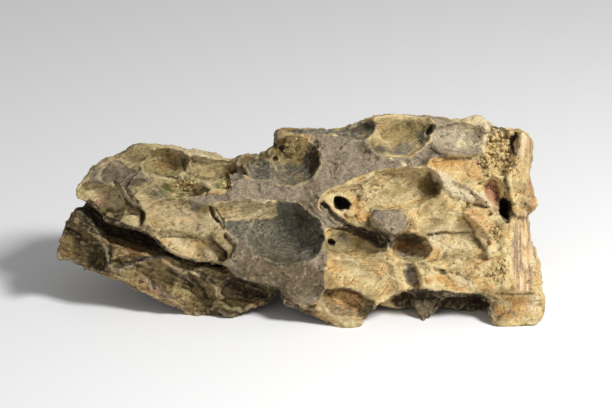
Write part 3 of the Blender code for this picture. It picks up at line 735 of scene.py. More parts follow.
def paint_linings(skin, stray):
    """Keeps the coats that line the hollows, and gives 1 in a hollow and 0 outside."""
    smooth = np.zeros(len(skin.place))
    lining = {name: np.zeros(len(skin.place)) for name in COAT_COLOURS}
    for name, hollow in HOLLOWS.items():
        share = within(skin, hollow, stray)
        smooth = np.maximum(smooth, share)
        for coat, amount in HOLLOW_COATS.get(name, {}).items():
            lining[coat] += amount * share
    for coat, amount in lining.items():
        paint(skin.mesh, LINING + coat, amount * 0.5 + 0.5)
    return skin.evened(smooth, 3)


# The noises of the weathered surface: the size of their swells, their octaves and seed
BEDS = (2.4, 2, 7)
FINE = (2.2, 3, 8)
COARSE = (11, 3, 9)
PITS = (2.4, 2, 10)
PITTED = (22, 2, 16)
END_LAYERS = (2.6, 2, 17)
LEDGE_BEDS = (3.4, 3, 18)

# How the layers are drawn out along u, v and w, on the sides and on the right end
BEDS_STRETCH = (0.07, 0.07, 1)
END_STRETCH = (1, 0.06, 0.4)

# Where the layered right end begins along u and v, and from where to where on their noises the pits
# deepen and the pitted places fade in
END_ALONG = (108, 115)
END_UP = (14, 22)
PIT_SLOPE = (0.32, 0.55)
PITTED_SLOPE = (0.0, 0.2)

# How much of the roughness the hollows lose
HOLLOW_SMOOTHNESS = 0.72

# How high some of the noises stand in millimetres, the coarse one also for what the sides add
COARSE_HEIGHT = 0.6
COARSE_ON_SIDES = 0.5
BEDS_HEIGHT = 0.7
FINE_HEIGHT = 0.22
PIT_DEPTH = 0.6
LAYER_HEIGHT = 0.7

# The size and seed of the facets and of the grains, and how steep the facets are
BIG_FACETS = (7.5, 1)
SMALL_FACETS = (2.8, 2)
FACET_TILT = 0.08
SMALL_GRAINS = (1.8, 3)
BIG_GRAINS = (3.6, 4)

# How high the small grains of a crust stand and how far the crust is sunk, in millimetres
SMALL_GRAIN_HEIGHT = 1.1
CRUST_SUNK = 1.2


def weather(skin):
    """The broken, layered and pitted surface, on the finest skin."""
    warp = swirls(skin.place, *MARK_SWIRLS) * MARK_STRAY
    for crack in CRACKS:
        cut_crack(skin, crack, warp)
    skin.turn_outward()
    stray = wobble(skin)
    broken = 1 - HOLLOW_SMOOTHNESS * paint_linings(skin, stray)
    u, v, w = skin.place.T
    beds = rough(skin.place * BEDS_STRETCH + warp * 1.5, *BEDS)
    coarse = rough(skin.place, *COARSE)
    pits = ramp(rough(skin.place, *PITS), *PIT_SLOPE)
    pits *= ramp(rough(skin.place, *PITTED), *PITTED_SLOPE)
    sides = ramp(-skin.facing, -0.35, 0.1)
    ends = ramp(u, *END_ALONG) * ramp(v, *END_UP)
    layers = rough(skin.place * END_STRETCH + warp, *END_LAYERS)
    ledges = within_outline(skin, AREAS["brown_and_shade"][0], stray) * ramp(skin.facing, -0.1, 0.3)
    slope = np.stack([u * 0.10, v + 0.32 * u, w * 0.5], axis=1)
    bedding = rough(slope + warp, *LEDGE_BEDS)
    crust = patch_share(skin, COATS["crust"], warp * 3) * ramp(skin.facing, -0.3, 0.1)
    move = BEDS_HEIGHT * beds * ramp(np.abs(beds), 0.0, 0.2)
    move += (COARSE_HEIGHT + COARSE_ON_SIDES * sides) * coarse * broken
    tilted = (FACET_TILT + FACET_TILT * sides) * facets(skin, *BIG_FACETS) * broken
    move += tilted + FACET_TILT * facets(skin, *SMALL_FACETS) * broken
    pitted = FINE_HEIGHT * rough(skin.place, *FINE) - PIT_DEPTH * pits
    move += pitted + LAYER_HEIGHT * layers * ends + bedding * ledges
    crumbs = SMALL_GRAIN_HEIGHT * grains(skin, *SMALL_GRAINS) + grains(skin, *BIG_GRAINS)
    move += crust * (crumbs - CRUST_SUNK)
    skin.push(move)
    paint_hollowness(skin, stray, crust)


# Sharp tips that hang from the underside: where, how much of the stone is drawn out, and how far
TIPS = [((67.2, 3.0), 10.0, 1.6)]
TIP_PINCH = 0.7


def draw_out_tips(skin):
    """Draws the tips down and pinches them."""
    for tip, reach, pull in TIPS:
        gap = np.linalg.norm(skin.place[:, :2] - tip, axis=1)
        share = np.clip(1 - gap / reach, 0, 1)
        skin.place[:, 1] -= pull * share
        skin.place[:, 0] -= TIP_PINCH * share * (skin.place[:, 0] - tip[0])
    skin.turn_outward()


def shape_stone():
    """The stone and its loose grains, shaped and with their coats worked out."""
    stone = packed_stone()
    skin = Skin(stone.data)
    skin.place = skin.evened(skin.place, WORN_ROUNDS)
    skin.sharpen(*FIRST_SHARPENING)
    skin.push_out(RISE * ramp(skin.facing, 0.1, 0.6))
    warp = wobble(skin)
    for hollow in HOLLOWS.values():
        press(skin, hollow, warp)
    skin.turn_outward()
    for bump in BUMPS:
        raise_bump(skin, bump, warp)
    for edge in EDGES.values():
        cut_edge(skin, edge, warp * EDGE_STRAY)
    draw_out_tips(skin)
    scoop_unseen_sides(skin)
    skin.store()
    even_skin(stone, SKIN_VOXEL)
    skin = Skin(stone.data)
    skin.sharpen(*FINE_SHARPENING)
    weather(skin)
    keep_off_floor(skin)
    skin.store()
    thin_out(stone, skin)
    skin = Skin(stone.data)
    paint_coats(skin)
    return stone, add_grains(skin)


# Coats of colour on the face, among them painted shade and painted light. A patch is an ellipse: its
# middle, width, height, turn and strength.
Patch = namedtuple("Patch", "u v across tall turn amount", defaults=(0.0, 1.0))

# Where a coat is missing all over an outline
SLAB_FOOT = [(-78, 47.5), (-52, 47.3), (-49, 44), (-50, 38), (-56, 36), (-63, 37.5), (-70, 41)]
BARE = {
    "slate": [(-60, 75), (-30, 75), (-11.5, 72), (-11.5, 59), (-20, 57), (-30, 57.5), (-42, 56.5),
              (-50, 60)],
    "tan": SLAB_FOOT,
    "olive": SLAB_FOOT,
    "umber": [(61, 13.5), (75, 13.5), (72, 8), (67.5, 0), (66, 0), (62, 8)],
}

# An area is the same as a patch, but bounded by an outline
AREAS = {
    "mauve": [
        [(-59.6, 69.9), (-56.9, 61.4), (-53, 63.3), (-48, 66), (-40, 64), (-42, 60), (-40.2, 50.8),
         (-36.1, 46), (-34.4, 41.9), (-39, 33.5), (-35, 27), (-28.5, 21.5), (-22.4, 21.6),
         (-15.6, 19.2), (-5.4, 16.2), (3.5, 10.2), (10, 12.8), (13.7, 17.5), (13.7, 28.3),
         (15.1, 38.5), (16.1, 44.7), (12.4, 48.8), (13.4, 51.3), (24.3, 54.5), (28.7, 52.8),
         (24.3, 57.5), (14.9, 64.6), (13, 68.5), (16.5, 71.7), (23.6, 76.4), (28.3, 78.7),
         (40, 82.6), (51.8, 83), (62.8, 84.2), (68.3, 88.1), (71.4, 89.7), (86.4, 91.3),
         (100, 93), (101.5, 100.4), (98, 105.5), (87.9, 107), (79.8, 111.5), (69.9, 113),
         (56, 114), (42.4, 114), (39, 108), (38.5, 102.3), (27.5, 101.5), (7, 102.5),
         (4, 94), (3, 86), (-3, 82.5), (-12, 82), (-20, 83.5), (-27, 87),
         (-33, 85.5), (-37.5, 80.2), (-37.1, 74), (-40.2, 70.6), (-49.7, 69.9)],
        [(-114, 77), (-106, 76.5), (-99.6, 78), (-95, 72.5), (-91, 67.5), (-86, 66), (-88, 71),
         (-90.5, 75), (-79, 78), (-84, 82.5), (-91, 84.5), (-97, 88.5), (-103, 88), (-110, 84)],
        [(38.5, 60.5), (41.5, 62.8), (47, 61.8), (53, 62.5), (57.5, 59), (58.5, 55), (57.5, 51),
         (53, 48), (49, 45.5), (45, 50), (40, 55)],
        [(58, 17.5), (78, 17.5), (73, 9), (67.5, 0), (66, 0), (61, 10)],
        [(-101, 31), (-96, 33.5), (-89, 35.6), (-77, 38.2), (-66, 38.4), (-66, 36.4), (-78, 35.4),
         (-90, 31.5), (-99, 28)],
    ],
    # Umber here is painted shade under the slab, under the trough's brow and along the lower front
    "umber": [
        [(-30, 21.5), (-27, 20.5), (-22, 20.8), (-15, 18.2), (-5, 15.2), (3, 9.4), (8, 11), (12, 13.5),
         (5, 5), (-6, 8), (-16, 12), (-24, 14), (-34, 16)],
        [(13, 52.5), (20, 53), (28, 54.5), (36, 52.5), (44, 49), (46, 44), (38, 46), (30, 50),
         (22, 51)],
        [(-120, 66), (-112, 68), (-104, 59.5), (-96, 56.5), (-84, 51.5), (-75, 46), (-69, 39.8),
         (-63, 36.6), (-53, 34.6), (-44, 34), (-40, 31.5), (-46, 31), (-60, 33.5), (-76, 38.6),
         (-84, 41.5), (-97, 46.8), (-104, 48), (-112, 50), (-118, 54)],
    ],
    # The great hollow's slate-grey film, partly painted shade
    "slate": [
        [(-42, 56.5), (-30, 58), (-20, 57.5), (-12, 59), (-11.5, 66), (-2, 64), (4.9, 59), (9, 52),
         (12.5, 45.4), (12, 40.9), (5.5, 35.5), (-2, 31.4), (-12.9, 32.1), (-20.7, 36.8),
         (-26.2, 43.7), (-34.4, 47.8), (-39.1, 52.5)],
    ],
    "tan": [
        [(-48.7, 66.8), (-30, 67.3), (-11.5, 66.5), (-11.5, 59), (-20, 56.5), (-30, 57),
         (-41, 56.5)],
        [(-130, 100), (-33, 100), (-34, 86), (-37.5, 80), (-37, 74), (-60, 70), (-57, 61),
         (-48, 66), (-42, 60), (-40, 51), (-34.5, 41), (-38, 34), (-60, 38), (-84, 50),
         (-96, 56), (-130, 70)],
    ],
    # Brown here is partly painted shade on the ledge under the slab and under the yellow facet's brow
    "brown_and_shade": [
        [(-130, 66), (-110, 60), (-84, 49), (-60, 37), (-38, 34), (-27, 23), (-10, 20), (3, 13),
         (12, 8), (2, -2), (-60, -8), (-130, 20)],
        [(12, 20), (25, 21.5), (40, 14), (44, 9), (36, 4), (20, 6), (12, 12)],
    ],
}

COATS = {name: [Patch(*row) for row in rows] for name, rows in {
    # Brown, partly painted shade
    "brown_and_shade": [
        (-17, 99, 22, 16, 0, 0.7), (-29, 90, 13, 10, 0, 0.8),
    ],
    "tan": [
        (-62, 57, 64, 28, -8), (-55, 42, 48, 15, -12), (-100, 64, 30, 16, -30, 0.6),
        (-28, 61, 36, 9, 2), (27, 11, 36, 22, -20, 0.6), (50, 74, 44, 18, 8, 0.7),
    ],
    "mauve": [
        (60, 27, 8, 14, 10, 0.7), (12, 48, 6, 12, -20, 0.8), (39, 9, 10, 7, -20, 0.7),
        (-75, 20, 28, 5, -30, 0.6), (-60, 25, 26, 5, -28, 0.6), (-50, 12, 24, 5, -10, 0.5),
        (-62, 20, 80, 22, -20, 0.35), (117, 6, 16, 6, -15, 0.5), (-38, 24, 20, 3, -30, 0.6),
    ],
    # Slate-grey film in the hollows, partly painted shade, as on the upper hollow's right wall and in
    # the trough
    "slate": [
        (-7, 81.5, 36, 11, 4, 0.7), (-6, 78.5, 30, 8, 4, 0.62), (6.5, 88, 8, 20),
        (50, 94.5, 32, 7, 3, 0.6), (67, 101, 7, 11, -35, 0.6), (10, 104.5, 34, 4), (27, 104, 16, 5),
        (36, 106, 14, 9, 25, 0.8), (42, 47, 22, 9, -12), (93, 8, 24, 11), (3.5, 31, 8, 6, 5, 0.5),
        (84, 101, 30, 12, 0, 0.12), (-20, 84, 16, 9, -10, 0.7), (22, 44, 18, 10, 0, 0.45),
        (-76, 72, 18, 8, -18, 0.5),
    ],
    "olive": [
        (-72, 88, 26, 15), (-46, 83.5, 36, 10, -8, 0.5), (-76, 72, 20, 9, -20, 0.6),
        (-70, 73, 8, 5), (-43, 43, 22, 12, -20, 0.6), (-80, 27, 54, 16, -22, 0.7),
        (-48, 20, 46, 20, -5, 0.8), (-26, 16, 26, 16, -10, 0.7), (52, 72, 20, 6, 10, 0.6),
        (70, 74, 11, 15, 10), (24, 44, 24, 12, 0, 0.8), (61, 38.5, 20, 7), (36, 13, 7, 9),
        (-114, 40, 28, 18, -40, 0.8), (24, 33, 14, 5, 0, 0.5), (41, 16, 8, 6, 0, 0.6),
        (56, 103, 24, 13, 10, 0.6), (-15, 91, 20, 8, 0, 0.6), (40, 53, 14, 7, -20, 0.8),
        (-104, 73, 14, 8, -20), (-85, 70, 84, 60, -25, 0.36), (-60, 22, 110, 34, -16, 0.40),
        (60, 40, 60, 40, 0, 0.2), (45, 100, 60, 24, 0, 0.35),
    ],
    # Umber is mostly painted shade on shaded hollow walls, recesses, plate edges and in holes, with
    # some dark dirt
    "umber": [
        (60, 47, 22, 6, 0, 0.7), (78, 12, 56, 14, -3), (-34, 6, 44, 9, -5, 0.6),
        (-124, 31, 18, 12, -20, 0.8), (-112, 38, 28, 16, -35, 0.56), (-12.5, 100, 3, 12, 0, 0.8),
        (-28, 20, 34, 8, -25, 0.8), (-37.5, 77, 3, 9), (115, 98, 5, 15), (111, 62, 7, 13, 12),
        (-50, 27, 14, 5, -35, 0.8), (-101.5, 37, 4, 12, -8), (43, 49, 18, 7, -12, 0.6),
        (-121, 50, 10, 3, -20), (23.5, 65.5, 9, 7, -30), (1, 6, 26, 8, -20, 0.5),
        (-107, 36, 14, 14, -40, 0.5), (-116, 44, 18, 8, -30, 0.4), (-72, 25, 30, 8, -20, 0.4),
        (-40, 22, 30, 8, -30, 0.5), (-62, 12, 30, 6, -5, 0.25), (-89, 68, 3.4, 18, 38, 0.9),
        (-84, 58, 2.4, 11, 0, 0.5), (9, 91, 5, 20, -5), (-24.5, 95, 4, 17, 0, 0.7),
        (4, 60, 13, 12, -40, 0.48), (-92, 29, 20, 3, -18, 0.5), (72.5, 75, 7, 11, 10, 0.5),
        (38, 48, 22, 6, -12, 0.8), (-62, 88, 3, 11, 20, 0.5),
    ],
    "rust": [
        (-88, 40, 34, 9, -15, 0.7), (-80, 21, 34, 10, -25, 0.5), (-62, 13, 20, 12, 0, 0.4),
        (-24, 18, 20, 9, -30, 0.4), (25, 14.5, 24, 11, -15, 0.8), (60, 43, 20, 7, 0, 0.8),
        (-71.5, 86.5, 11, 8, 0, 0.45), (-68, 91, 9, 6, 0, 0.42), (-122, 37, 14, 8, -30, 0.55),
        (-1, 95, 14, 11, 20, 0.35), (8, 8, 26, 8, -22, 0.5), (-36, 81, 8, 4, 0, 0.8),
        (-60, 22, 110, 34, -16, 0.36), (-60, 60, 50, 30, 0, 0.25),
    ],
    "red": [
        (-104, 70.5, 10, 6, -25, 0.46), (-106, 66, 12, 7, -30, 0.5), (-99, 64.5, 11, 6, -20, 0.42),
        (104, 71, 8, 13, 10), (125.5, 73, 5, 26, -3, 0.6), (106, 13, 8, 5, 0, 0.35),
        (-74, 18, 12, 5, -25, 0.4), (-92, 61, 7, 4, 0, 0.4), (97, 88, 9, 5, 0, 0.5),
        (-60, 15, 14, 5, -20, 0.36),
    ],
    "orange": [
        (80, 88, 30, 6, 0, 0.8), (85, 84, 36, 13, 4, 0.45), (97, 54, 16, 24, 20, 0.4),
        (95, 83, 16, 10, 0, 0.6), (95, 57, 12, 9, -30), (101, 48, 8, 14, 20, 0.5),
        (82, 23, 18, 5, -22, 0.9), (116, 10, 24, 14, 0, 0.7), (35, 59.5, 8, 4),
        (70, 24, 6, 5, 0, 0.7), (20, 22, 10, 4, -5, 0.5), (27, 13.5, 20, 8, -22, 0.75),
        (-64, 56, 12, 5, 0, 0.45), (-60, 39, 14, 4, -15, 0.45), (-80, 26, 12, 5, 0, 0.5),
    ],
    # Cream colour, and painted highlight on peaks, rims and lit lower edges
    "cream": [
        (79, 77, 18, 7, -38, 0.7), (90, 70.5, 19, 8, -22, 0.7), (99, 67.5, 11, 9, -40, 0.6),
        (99.5, 100, 4.5, 18, 0, 0.8), (88, 97.5, 18, 4, 10, 0.6), (47, 31, 12, 4, 0, 0.5),
        (95, 108.5, 20, 8, -10, 0.9), (109, 13, 12, 6, -30, 0.55), (125, 9, 7, 14, 0, 0.5),
        (52, 88.5, 5, 1.2), (56, 86.5, 3, 3, 40), (-54.5, 28, 7, 1.8, -25),
        (86, 101, 30, 12, 0, 0.28), (57, 30.5, 3, 2.6), (30.5, 56.5, 3, 1.6),
        (80, 45, 30, 12, 0, 0.5), (-58, 42, 36, 10, -15, 0.38), (40, 5, 10, 9, 0, 0.45),
        (90, 24, 24, 8, 0, 0.35),
    ],
    "moss": [
        (-60, 73, 12, 4), (-40, 76, 9, 6), (-38, 10, 15, 5, -5, 0.8), (-71, 73, 5, 3.5),
        (-65, 69, 8, 3, 15), (-103, 61, 10, 3, -20, 0.7), (-112, 37, 18, 12, -30, 0.3),
        (47, 102, 8, 8, 0, 0.4), (-76, 71, 22, 8, -18, 0.25),
    ],
    # Damp stains, and painted shade on shaded walls, recesses and undersides, darkening what lies under
    # them
    "stain_and_shade": [
        (-6, 27, 56, 20, -12, 0.9), (-75, 84, 26, 12, 0, 0.2), (-12, 42, 28, 12, -10, 0.55),
        (56, 103, 26, 16, 10, 0.5), (40, 47, 22, 9, -12, 0.9), (-24, 37, 22, 12, -40, 0.4),
        (-5, 90, 32, 22, 0, 0.35), (55, 103, 34, 18, 10, 0.3), (38, 8, 12, 10, -25, 0.4),
        (-112, 38, 32, 22, -35, 0.9), (-70, 22, 60, 16, -20, 0.3), (112, 14, 26, 8, 0, 0.7),
        (34, 26, 40, 22, -12, 0.15), (0, 54, 18, 22, 30, 0.2), (-88, 80, 46, 14, -15, 0.45),
        (-40, 20, 50, 14, -10, 0.35), (69, 8, 20, 22, 0, 1.6), (-91, 55, 14, 6, -20, 0.3),
        (-40, 42, 16, 16, 0, 0.6), (-29, 90, 14, 11, 0, 0.9), (-36, 9, 56, 14, -4, 0.9),
        (-122, 46, 22, 40, 0, 0.9), (-104, 40, 34, 22, 0, 0.6), (-17, 99, 24, 18, 0, 0.9),
        (-95, 95, 32, 12, -10, 0.8), (124, 80, 12, 50, 0, 0.5), (8, 72, 10, 14, 0, 0.6),
        (71, 75, 11, 14, 10), (6, 52, 14, 24, 15, 0.3), (40, 96, 18, 10, 0, 0.7),
        (74, 63, 14, 18, 0, 0.5), (-122, 34, 16, 16, 0, 0.9), (106, 17, 30, 8, 0, 0.6),
        (-10, 104, 24, 8, 0, 0.8), (4, 60, 16, 16, -40, 0.8), (-86, 44, 20, 8, -20, 0.6),
        (2, 58, 14, 16, 30, 0.3), (-12, 84, 30, 14, 0, 0.4), (10, 66, 16, 14, 0, 0.4),
        (32, 107, 34, 7, 0, 0.6), (104, 8, 24, 16, 0, 0.5), (28, 57, 14, 6, -20, 0.6),
        (-9, 18, 30, 10, -15, 0.5),
    ],
    # Pale colour, and painted light where shaded places are lightened, such as the red plate and the
    # crust top
    "pale": [
        (86, 101, 34, 16, 0, 0.6), (79, 77, 18, 6, -38, 0.9), (90, 70.5, 19, 7, -22, 0.9),
        (99, 67.5, 11, 8, -40, 0.8), (104, 106, 20, 10, 0, 0.7), (-58, 93, 26, 8, -12, 0.5),
        (-56, 56, 30, 12, -5, 0.45), (-58, 42, 30, 9, -15, 0.45), (85, 47, 36, 16, 0, 0.4),
        (-41, 18, 12, 7, -10, 0.4), (41, 5, 9, 9, 0, 0.5), (60, 46, 20, 6, 0, 0.2),
        (124, 8, 12, 16, 0, 0.4), (56, 96, 20, 10, 0, 0.2), (-62, 6, 24, 8, -20, 0.4),
        (107, 71, 8, 16, 10, 0.3), (98, 50, 14, 32, 20, 0.3), (85, 84, 36, 12, 4, 0.15),
        (61, 38.5, 18, 6, 0, 0.7), (-103, 68, 20, 12, -30, 0.45), (27, 12, 22, 10, -22, 0.3),
        (-70, 90, 20, 9, 0, 0.25),
    ],
    "crust": [
        (107, 94, 14, 27), (102, 86, 12, 11, -20), (113, 86, 11, 9), (107, 29.5, 12, 11),
        (105, 49, 7, 6, 30), (-58.5, 75, 14, 7, -8, 0.9), (-1, 95, 15, 12, 20, 0.75),
        (-38, 76, 8, 5, 0, 0.6),
    ],
    "strata": [
        (118, 12, 18, 5, 0, 0.3), (121, 40, 15, 48, -4), (120, 97, 10, 16),
        (121, 73, 9, 22, 5, 0.4),
    ],
}.items()}

# Coats that a hollow has all over, or hasn't where the amount is below 0
# Umber in the eyes and holes is painted shade, and slate in the hollows is partly painted shade
HOLLOW_COATS = {
    "great hollow": {"mauve": -1, "slate": 1, "tan": 0.6},
    "great hollow's left end": {"mauve": -1, "tan": 0.3},
    "upper hollow": {"mauve": -0.8, "olive": 0.4}, "upper hollow's eye": {"umber": 1},
    "upper hollow's left end": {"mauve": -0.8, "slate": 0.4, "olive": 0.2},
    "top hollow": {"mauve": -1, "tan": 0.5}, "long hollow": {"mauve": -1},
    "long hollow's left end": {"mauve": -1}, "eye": {"umber": 1}, "trough": {"mauve": -1},
    "trough's eye": {"umber": 1}, "ridge hole": {"umber": 1}, "cave": {"mauve": -1, "rust": 0.15},
    "foot hollow": {"mauve": -1}, "right plate": {"mauve": -1}, "black hole": {"umber": 1},
    "olive scoop": {"mauve": -1}, "small top hollow": {"umber": 0.4},
}


# Painted shadow and dirt along the foot of a plate, below its step: how dark it is for each millimetre
# of the step, at most how dark, and in millimetres how far off the edge it lies and how wide it is
FOOT_DARKNESS = 0.22
FOOT_DARKEST = 0.8
FOOT_OFFSET = 0.8
FOOT_WIDTH = 0.8

# Painted shade and dirt in a crack: how dark, and how wide in millimetres
CRACK_DARKNESS = 0.7
CRACK_SHADE_WIDTH = 0.6

# How far from a line's own box its painted shade and dirt is looked for, in millimetres
SHADE_AND_DIRT_REACH = 4


def shade_lines(skin, warp):
    """1 in the cracks and along the foot of every plate edge, for painted shade and dirt."""
    dark = np.zeros(len(skin.place))
    for line in [*EDGES.values(), *CRACKS]:
        pick = near(skin, line.path, SHADE_AND_DIRT_REACH)
        u, v, _ = (skin.place + warp * EDGE_STRAY)[pick].T
        gap, along = beside(line.path, u, v)
        if isinstance(line, Edge):
            strength = min(FOOT_DARKEST, FOOT_DARKNESS * (line.up + line.down))
            shadow_and_dirt = np.exp(-((gap + FOOT_OFFSET) / FOOT_WIDTH) ** 2)
        else:
            strength = CRACK_DARKNESS
            shadow_and_dirt = np.exp(-(gap / CRACK_SHADE_WIDTH) ** 2)
        # Painted shadow below each plate's step and painted shade in each crack, with their dirt
        dark[pick] = np.maximum(dark[pick], shadow_and_dirt * fading(along, EDGE_FADE) * strength)
    return dark


# How many rounds of evening small, middling and great hollows are told by
SMALL_ROUNDS = 4
MIDDLE_ROUNDS = 25
GREAT_ROUNDS = 60


def paint_hollowness(skin, stray, crust):
    """Keeps how sunk the skin is, for painted shade and dirt, and how raised its high points are, for
    wear and painted highlight.
    """
    fine = skin.sunk(SMALL_ROUNDS)
    wide = skin.sunk(MIDDLE_ROUNDS)
    sunk = 0.6 * ramp(fine, 0.02, 0.25) + 0.7 * ramp(wide, 0.15, 1.1)
    # Painted shade and dirt: darker the more sunk the skin is, in the cracks and along the plate feet
    paint(skin.mesh, "cavity", sunk * (1 - 0.35 * crust) + shade_lines(skin, stray))
    # Wear and painted highlight: paler on the high points and the rims of hollows
    paint(skin.mesh, "wear_and_highlight", ramp(-fine, 0.02, 0.22))


# The noises of the coats on the sides that aren't seen: the size of their swells, octaves and seed
BROAD_PATCHES = (34, 3, 14)
MIDDLE_PATCHES = (15, 3, 15)


def coats_elsewhere(skin):
    """Each coat's share where the photograph doesn't look, by the lie of the skin and by noise."""
    broad = rough(skin.place, *BROAD_PATCHES)
    middle = rough(skin.place, *MIDDLE_PATCHES)
    up = skin.normal @ AXES[2]
    sunk = skin.sunk(GREAT_ROUNDS)
    return {
        "tan": 0.55 + broad,
        "mauve": ramp(broad + 0.3 * middle, -0.10, 0.08),
        # Slate in deep hollows here is partly painted shade
        "slate": ramp(sunk, 0.3, 1.2) * ramp(middle, -0.3, 0.1) * ramp(up, -0.6, 0.0),
        # Olive and umber facing down and deep in hollows are painted shade as well as colour
        "olive": ramp(-up, -0.2, 0.6) * ramp(middle, -0.3, 0.2) + ramp(sunk, 0.2, 1.5) * 0.5,
        "umber": ramp(-up, 0.1, 0.9) * 0.8 + ramp(sunk, 1.5, 3.0),
        "rust": ramp(-middle, 0.12, 0.3) * ramp(-up, -0.4, 0.4),
        "orange": ramp(middle, 0.15, 0.35) * ramp(up, -0.4, 0.2),
        "strata": ramp(skin.place[:, 0], 100, 118) * ramp(skin.normal[:, 0], 0.3, 0.7),
    }


# Between these places along w the coats seen in the photograph give way to those of the back
COATS_END = (-92, -78)


def paint_coats(skin):
    """Keeps every coat's share at every vertex."""
    warp = wobble(skin) + swirls(skin.place, *COAT_SWIRLS) * COAT_STRAY
    shown = ramp(skin.facing, -0.35, 0.0) * ramp(skin.place[:, 2], *COATS_END)
    elsewhere = coats_elsewhere(skin)
    for name, patches in COATS.items():
        amount = patch_share(skin, patches, warp)
        for outline in AREAS.get(name, []):
            amount = np.maximum(amount, within_outline(skin, outline, warp))
        if name in COAT_COLOURS:
            amount += painted(skin.mesh, LINING + name) * 2 - 1
        if name in BARE:
            amount *= 1 - within_outline(skin, BARE[name], warp * 2)
        share = shown * np.clip(amount, 0, 1) + (1 - shown) * elsewhere.get(name, 0)
        paint(skin.mesh, name, share)


def tone(red, green, blue):
    """A colour as seen on a screen, 0 to 255, as the renderer's linear one."""
    shares = [part / 255 for part in (red, green, blue)]
    return (*[s / 12.92 if s <= 0.04045 else ((s + 0.055) / 1.055) ** 2.4 for s in shares], 1.0)


class Number:
    """A number socket of a finish, for use in expressions."""

    def __init__(self, finish, socket):
        self.finish, self.socket = finish, socket

    def math(self, operation, first, second):
        node = self.finish.node("ShaderNodeMath", {"operation": operation}, {0: first, 1: second})
        return Number(self.finish, node.outputs[0])

    def __add__(self, other):
        return self.math("ADD", self, other)

    def __sub__(self, other):
        return self.math("SUBTRACT", self, other)

    def __rsub__(self, other):
        return self.math("SUBTRACT", other, self)

    def __mul__(self, other):
        return self.math("MULTIPLY", self, other)

    __radd__ = __add__


class Finish:
    """A material and the nodes that make it."""

    def __init__(self, name):
        self.material = bpy.data.materials.new(name)
        self.material.use_nodes = True
        self.tree = self.material.node_tree
        self.shader = self.tree.nodes["Principled BSDF"]
        self.spot = self.node("ShaderNodeTexCoord").outputs["Object"]

    def feed(self, socket, value):
        """Links a socket to another one, or sets it."""
        value = getattr(value, "socket", value)
        if isinstance(value, bpy.types.NodeSocket):
            self.tree.links.new(value, socket)
        else:
            socket.default_value = value

    def node(self, kind, settings=None, values=None):
        made = self.tree.nodes.new(kind)
        for name, value in (settings or {}).items():
            setattr(made, name, value)
        for key, value in (values or {}).items():
            self.feed(made.inputs[key], value)
        return made

    def painted(self, name):
        """The values kept under a name on the mesh."""
        node = self.node("ShaderNodeAttribute", {"attribute_name": name})
        return Number(self, node.outputs["Fac"])

    def along(self, direction):
        """The place along a direction, in millimetres."""
        node = self.node("ShaderNodeVectorMath", {"operation": "DOT_PRODUCT"},
                         {0: self.spot, 1: tuple(part / MM for part in direction)})
        return Number(self, node.outputs["Value"])

    def vector(self, x, y, z):
        return self.node("ShaderNodeCombineXYZ", None, {0: x, 1: y, 2: z}).outputs[0]

    def noise(self, size, detail=2.0, where=None):
        """Noise from 0 to 1 with swells of this size in millimetres."""
        scale = 1.0 / size if where else 1.0 / (size * MM)
        node = self.node("ShaderNodeTexNoise", None,
                         {"Vector": where or self.spot, "Scale": scale, "Detail": detail})
        return Number(self, node.outputs["Fac"])

    def net(self, size, where):
        """The distance to a net of lines, as a share of the width of its holes in millimetres."""
        node = self.node("ShaderNodeTexVoronoi", {"feature": "DISTANCE_TO_EDGE"},
                         {"Vector": where, "Scale": 1 / size})
        return node.outputs["Distance"]

    def between(self, value, low, high):
        """0 below low, 1 above high and a soft slope between."""
        node = self.node("ShaderNodeMapRange", {"interpolation_type": "SMOOTHSTEP"},
                         {0: value, 1: low, 2: high, 3: 0.0, 4: 1.0})
        return Number(self, node.outputs[0])

    def mix(self, amount, first, second, blend="MIX"):
        node = self.node("ShaderNodeMix", {"data_type": "RGBA", "blend_type": blend},
                         {0: amount, 6: first, 7: second})
        return node.outputs[2]

    def bump(self, height, distance, normal=None):
        """The normal of a relief this many millimetres high, on top of another normal."""
        values = {"Height": height, "Distance": distance * MM}
        if normal is not None:
            values["Normal"] = normal
        return self.node("ShaderNodeBump", None, values).outputs["Normal"]


# Each coat's light and dark colour, how broken its border is and how soft
Coat = namedtuple("Coat", "light dark broken soft", defaults=(0.5, 0.12))

COAT_COLOURS = {
    "tan": Coat(tone(213, 193, 146), tone(163, 141, 99), 0.7, 0.30),
    # Brown is partly painted shade on the ledge under the slab
    "brown_and_shade": Coat(tone(166, 142, 102), tone(104, 87, 58), 0.6, 0.30),
    "olive": Coat(tone(172, 154, 104), tone(132, 115, 72), 0.8, 0.30),
    "rust": Coat(tone(166, 124, 74), tone(128, 92, 54), 0.9, 0.30),
    "orange": Coat(tone(212, 168, 104), tone(190, 142, 80), 0.9, 0.32),
    "mauve": Coat(tone(152, 137, 116), tone(126, 112, 93), 0.50, 0.07),
    # Slate is a grey film in the hollows, partly painted shade
    "slate": Coat(tone(128, 121, 103), tone(80, 79, 72), 0.85, 0.30),
    # Umber is mostly painted shade, with some dark dirt
    "umber": Coat(tone(78, 62, 40), tone(38, 31, 21), 0.5, 0.20),
    "red": Coat(tone(194, 142, 108), tone(166, 118, 86), 0.9, 0.28),
    # Cream is also painted highlight on peaks, rims and lit edges
    "cream": Coat(tone(226, 208, 164), tone(198, 175, 128), 0.9, 0.25),
    "moss": Coat(tone(140, 136, 76), tone(104, 102, 54), 0.9, 0.25),
    "crust": Coat(tone(226, 200, 140), tone(186, 155, 100), 0.4, 0.15),
}
OCHRE = Coat(tone(228, 203, 146), tone(188, 157, 100))

# How far the ragged noise moves the border of a coat that is fully broken
BORDER_BREAK = 3.2

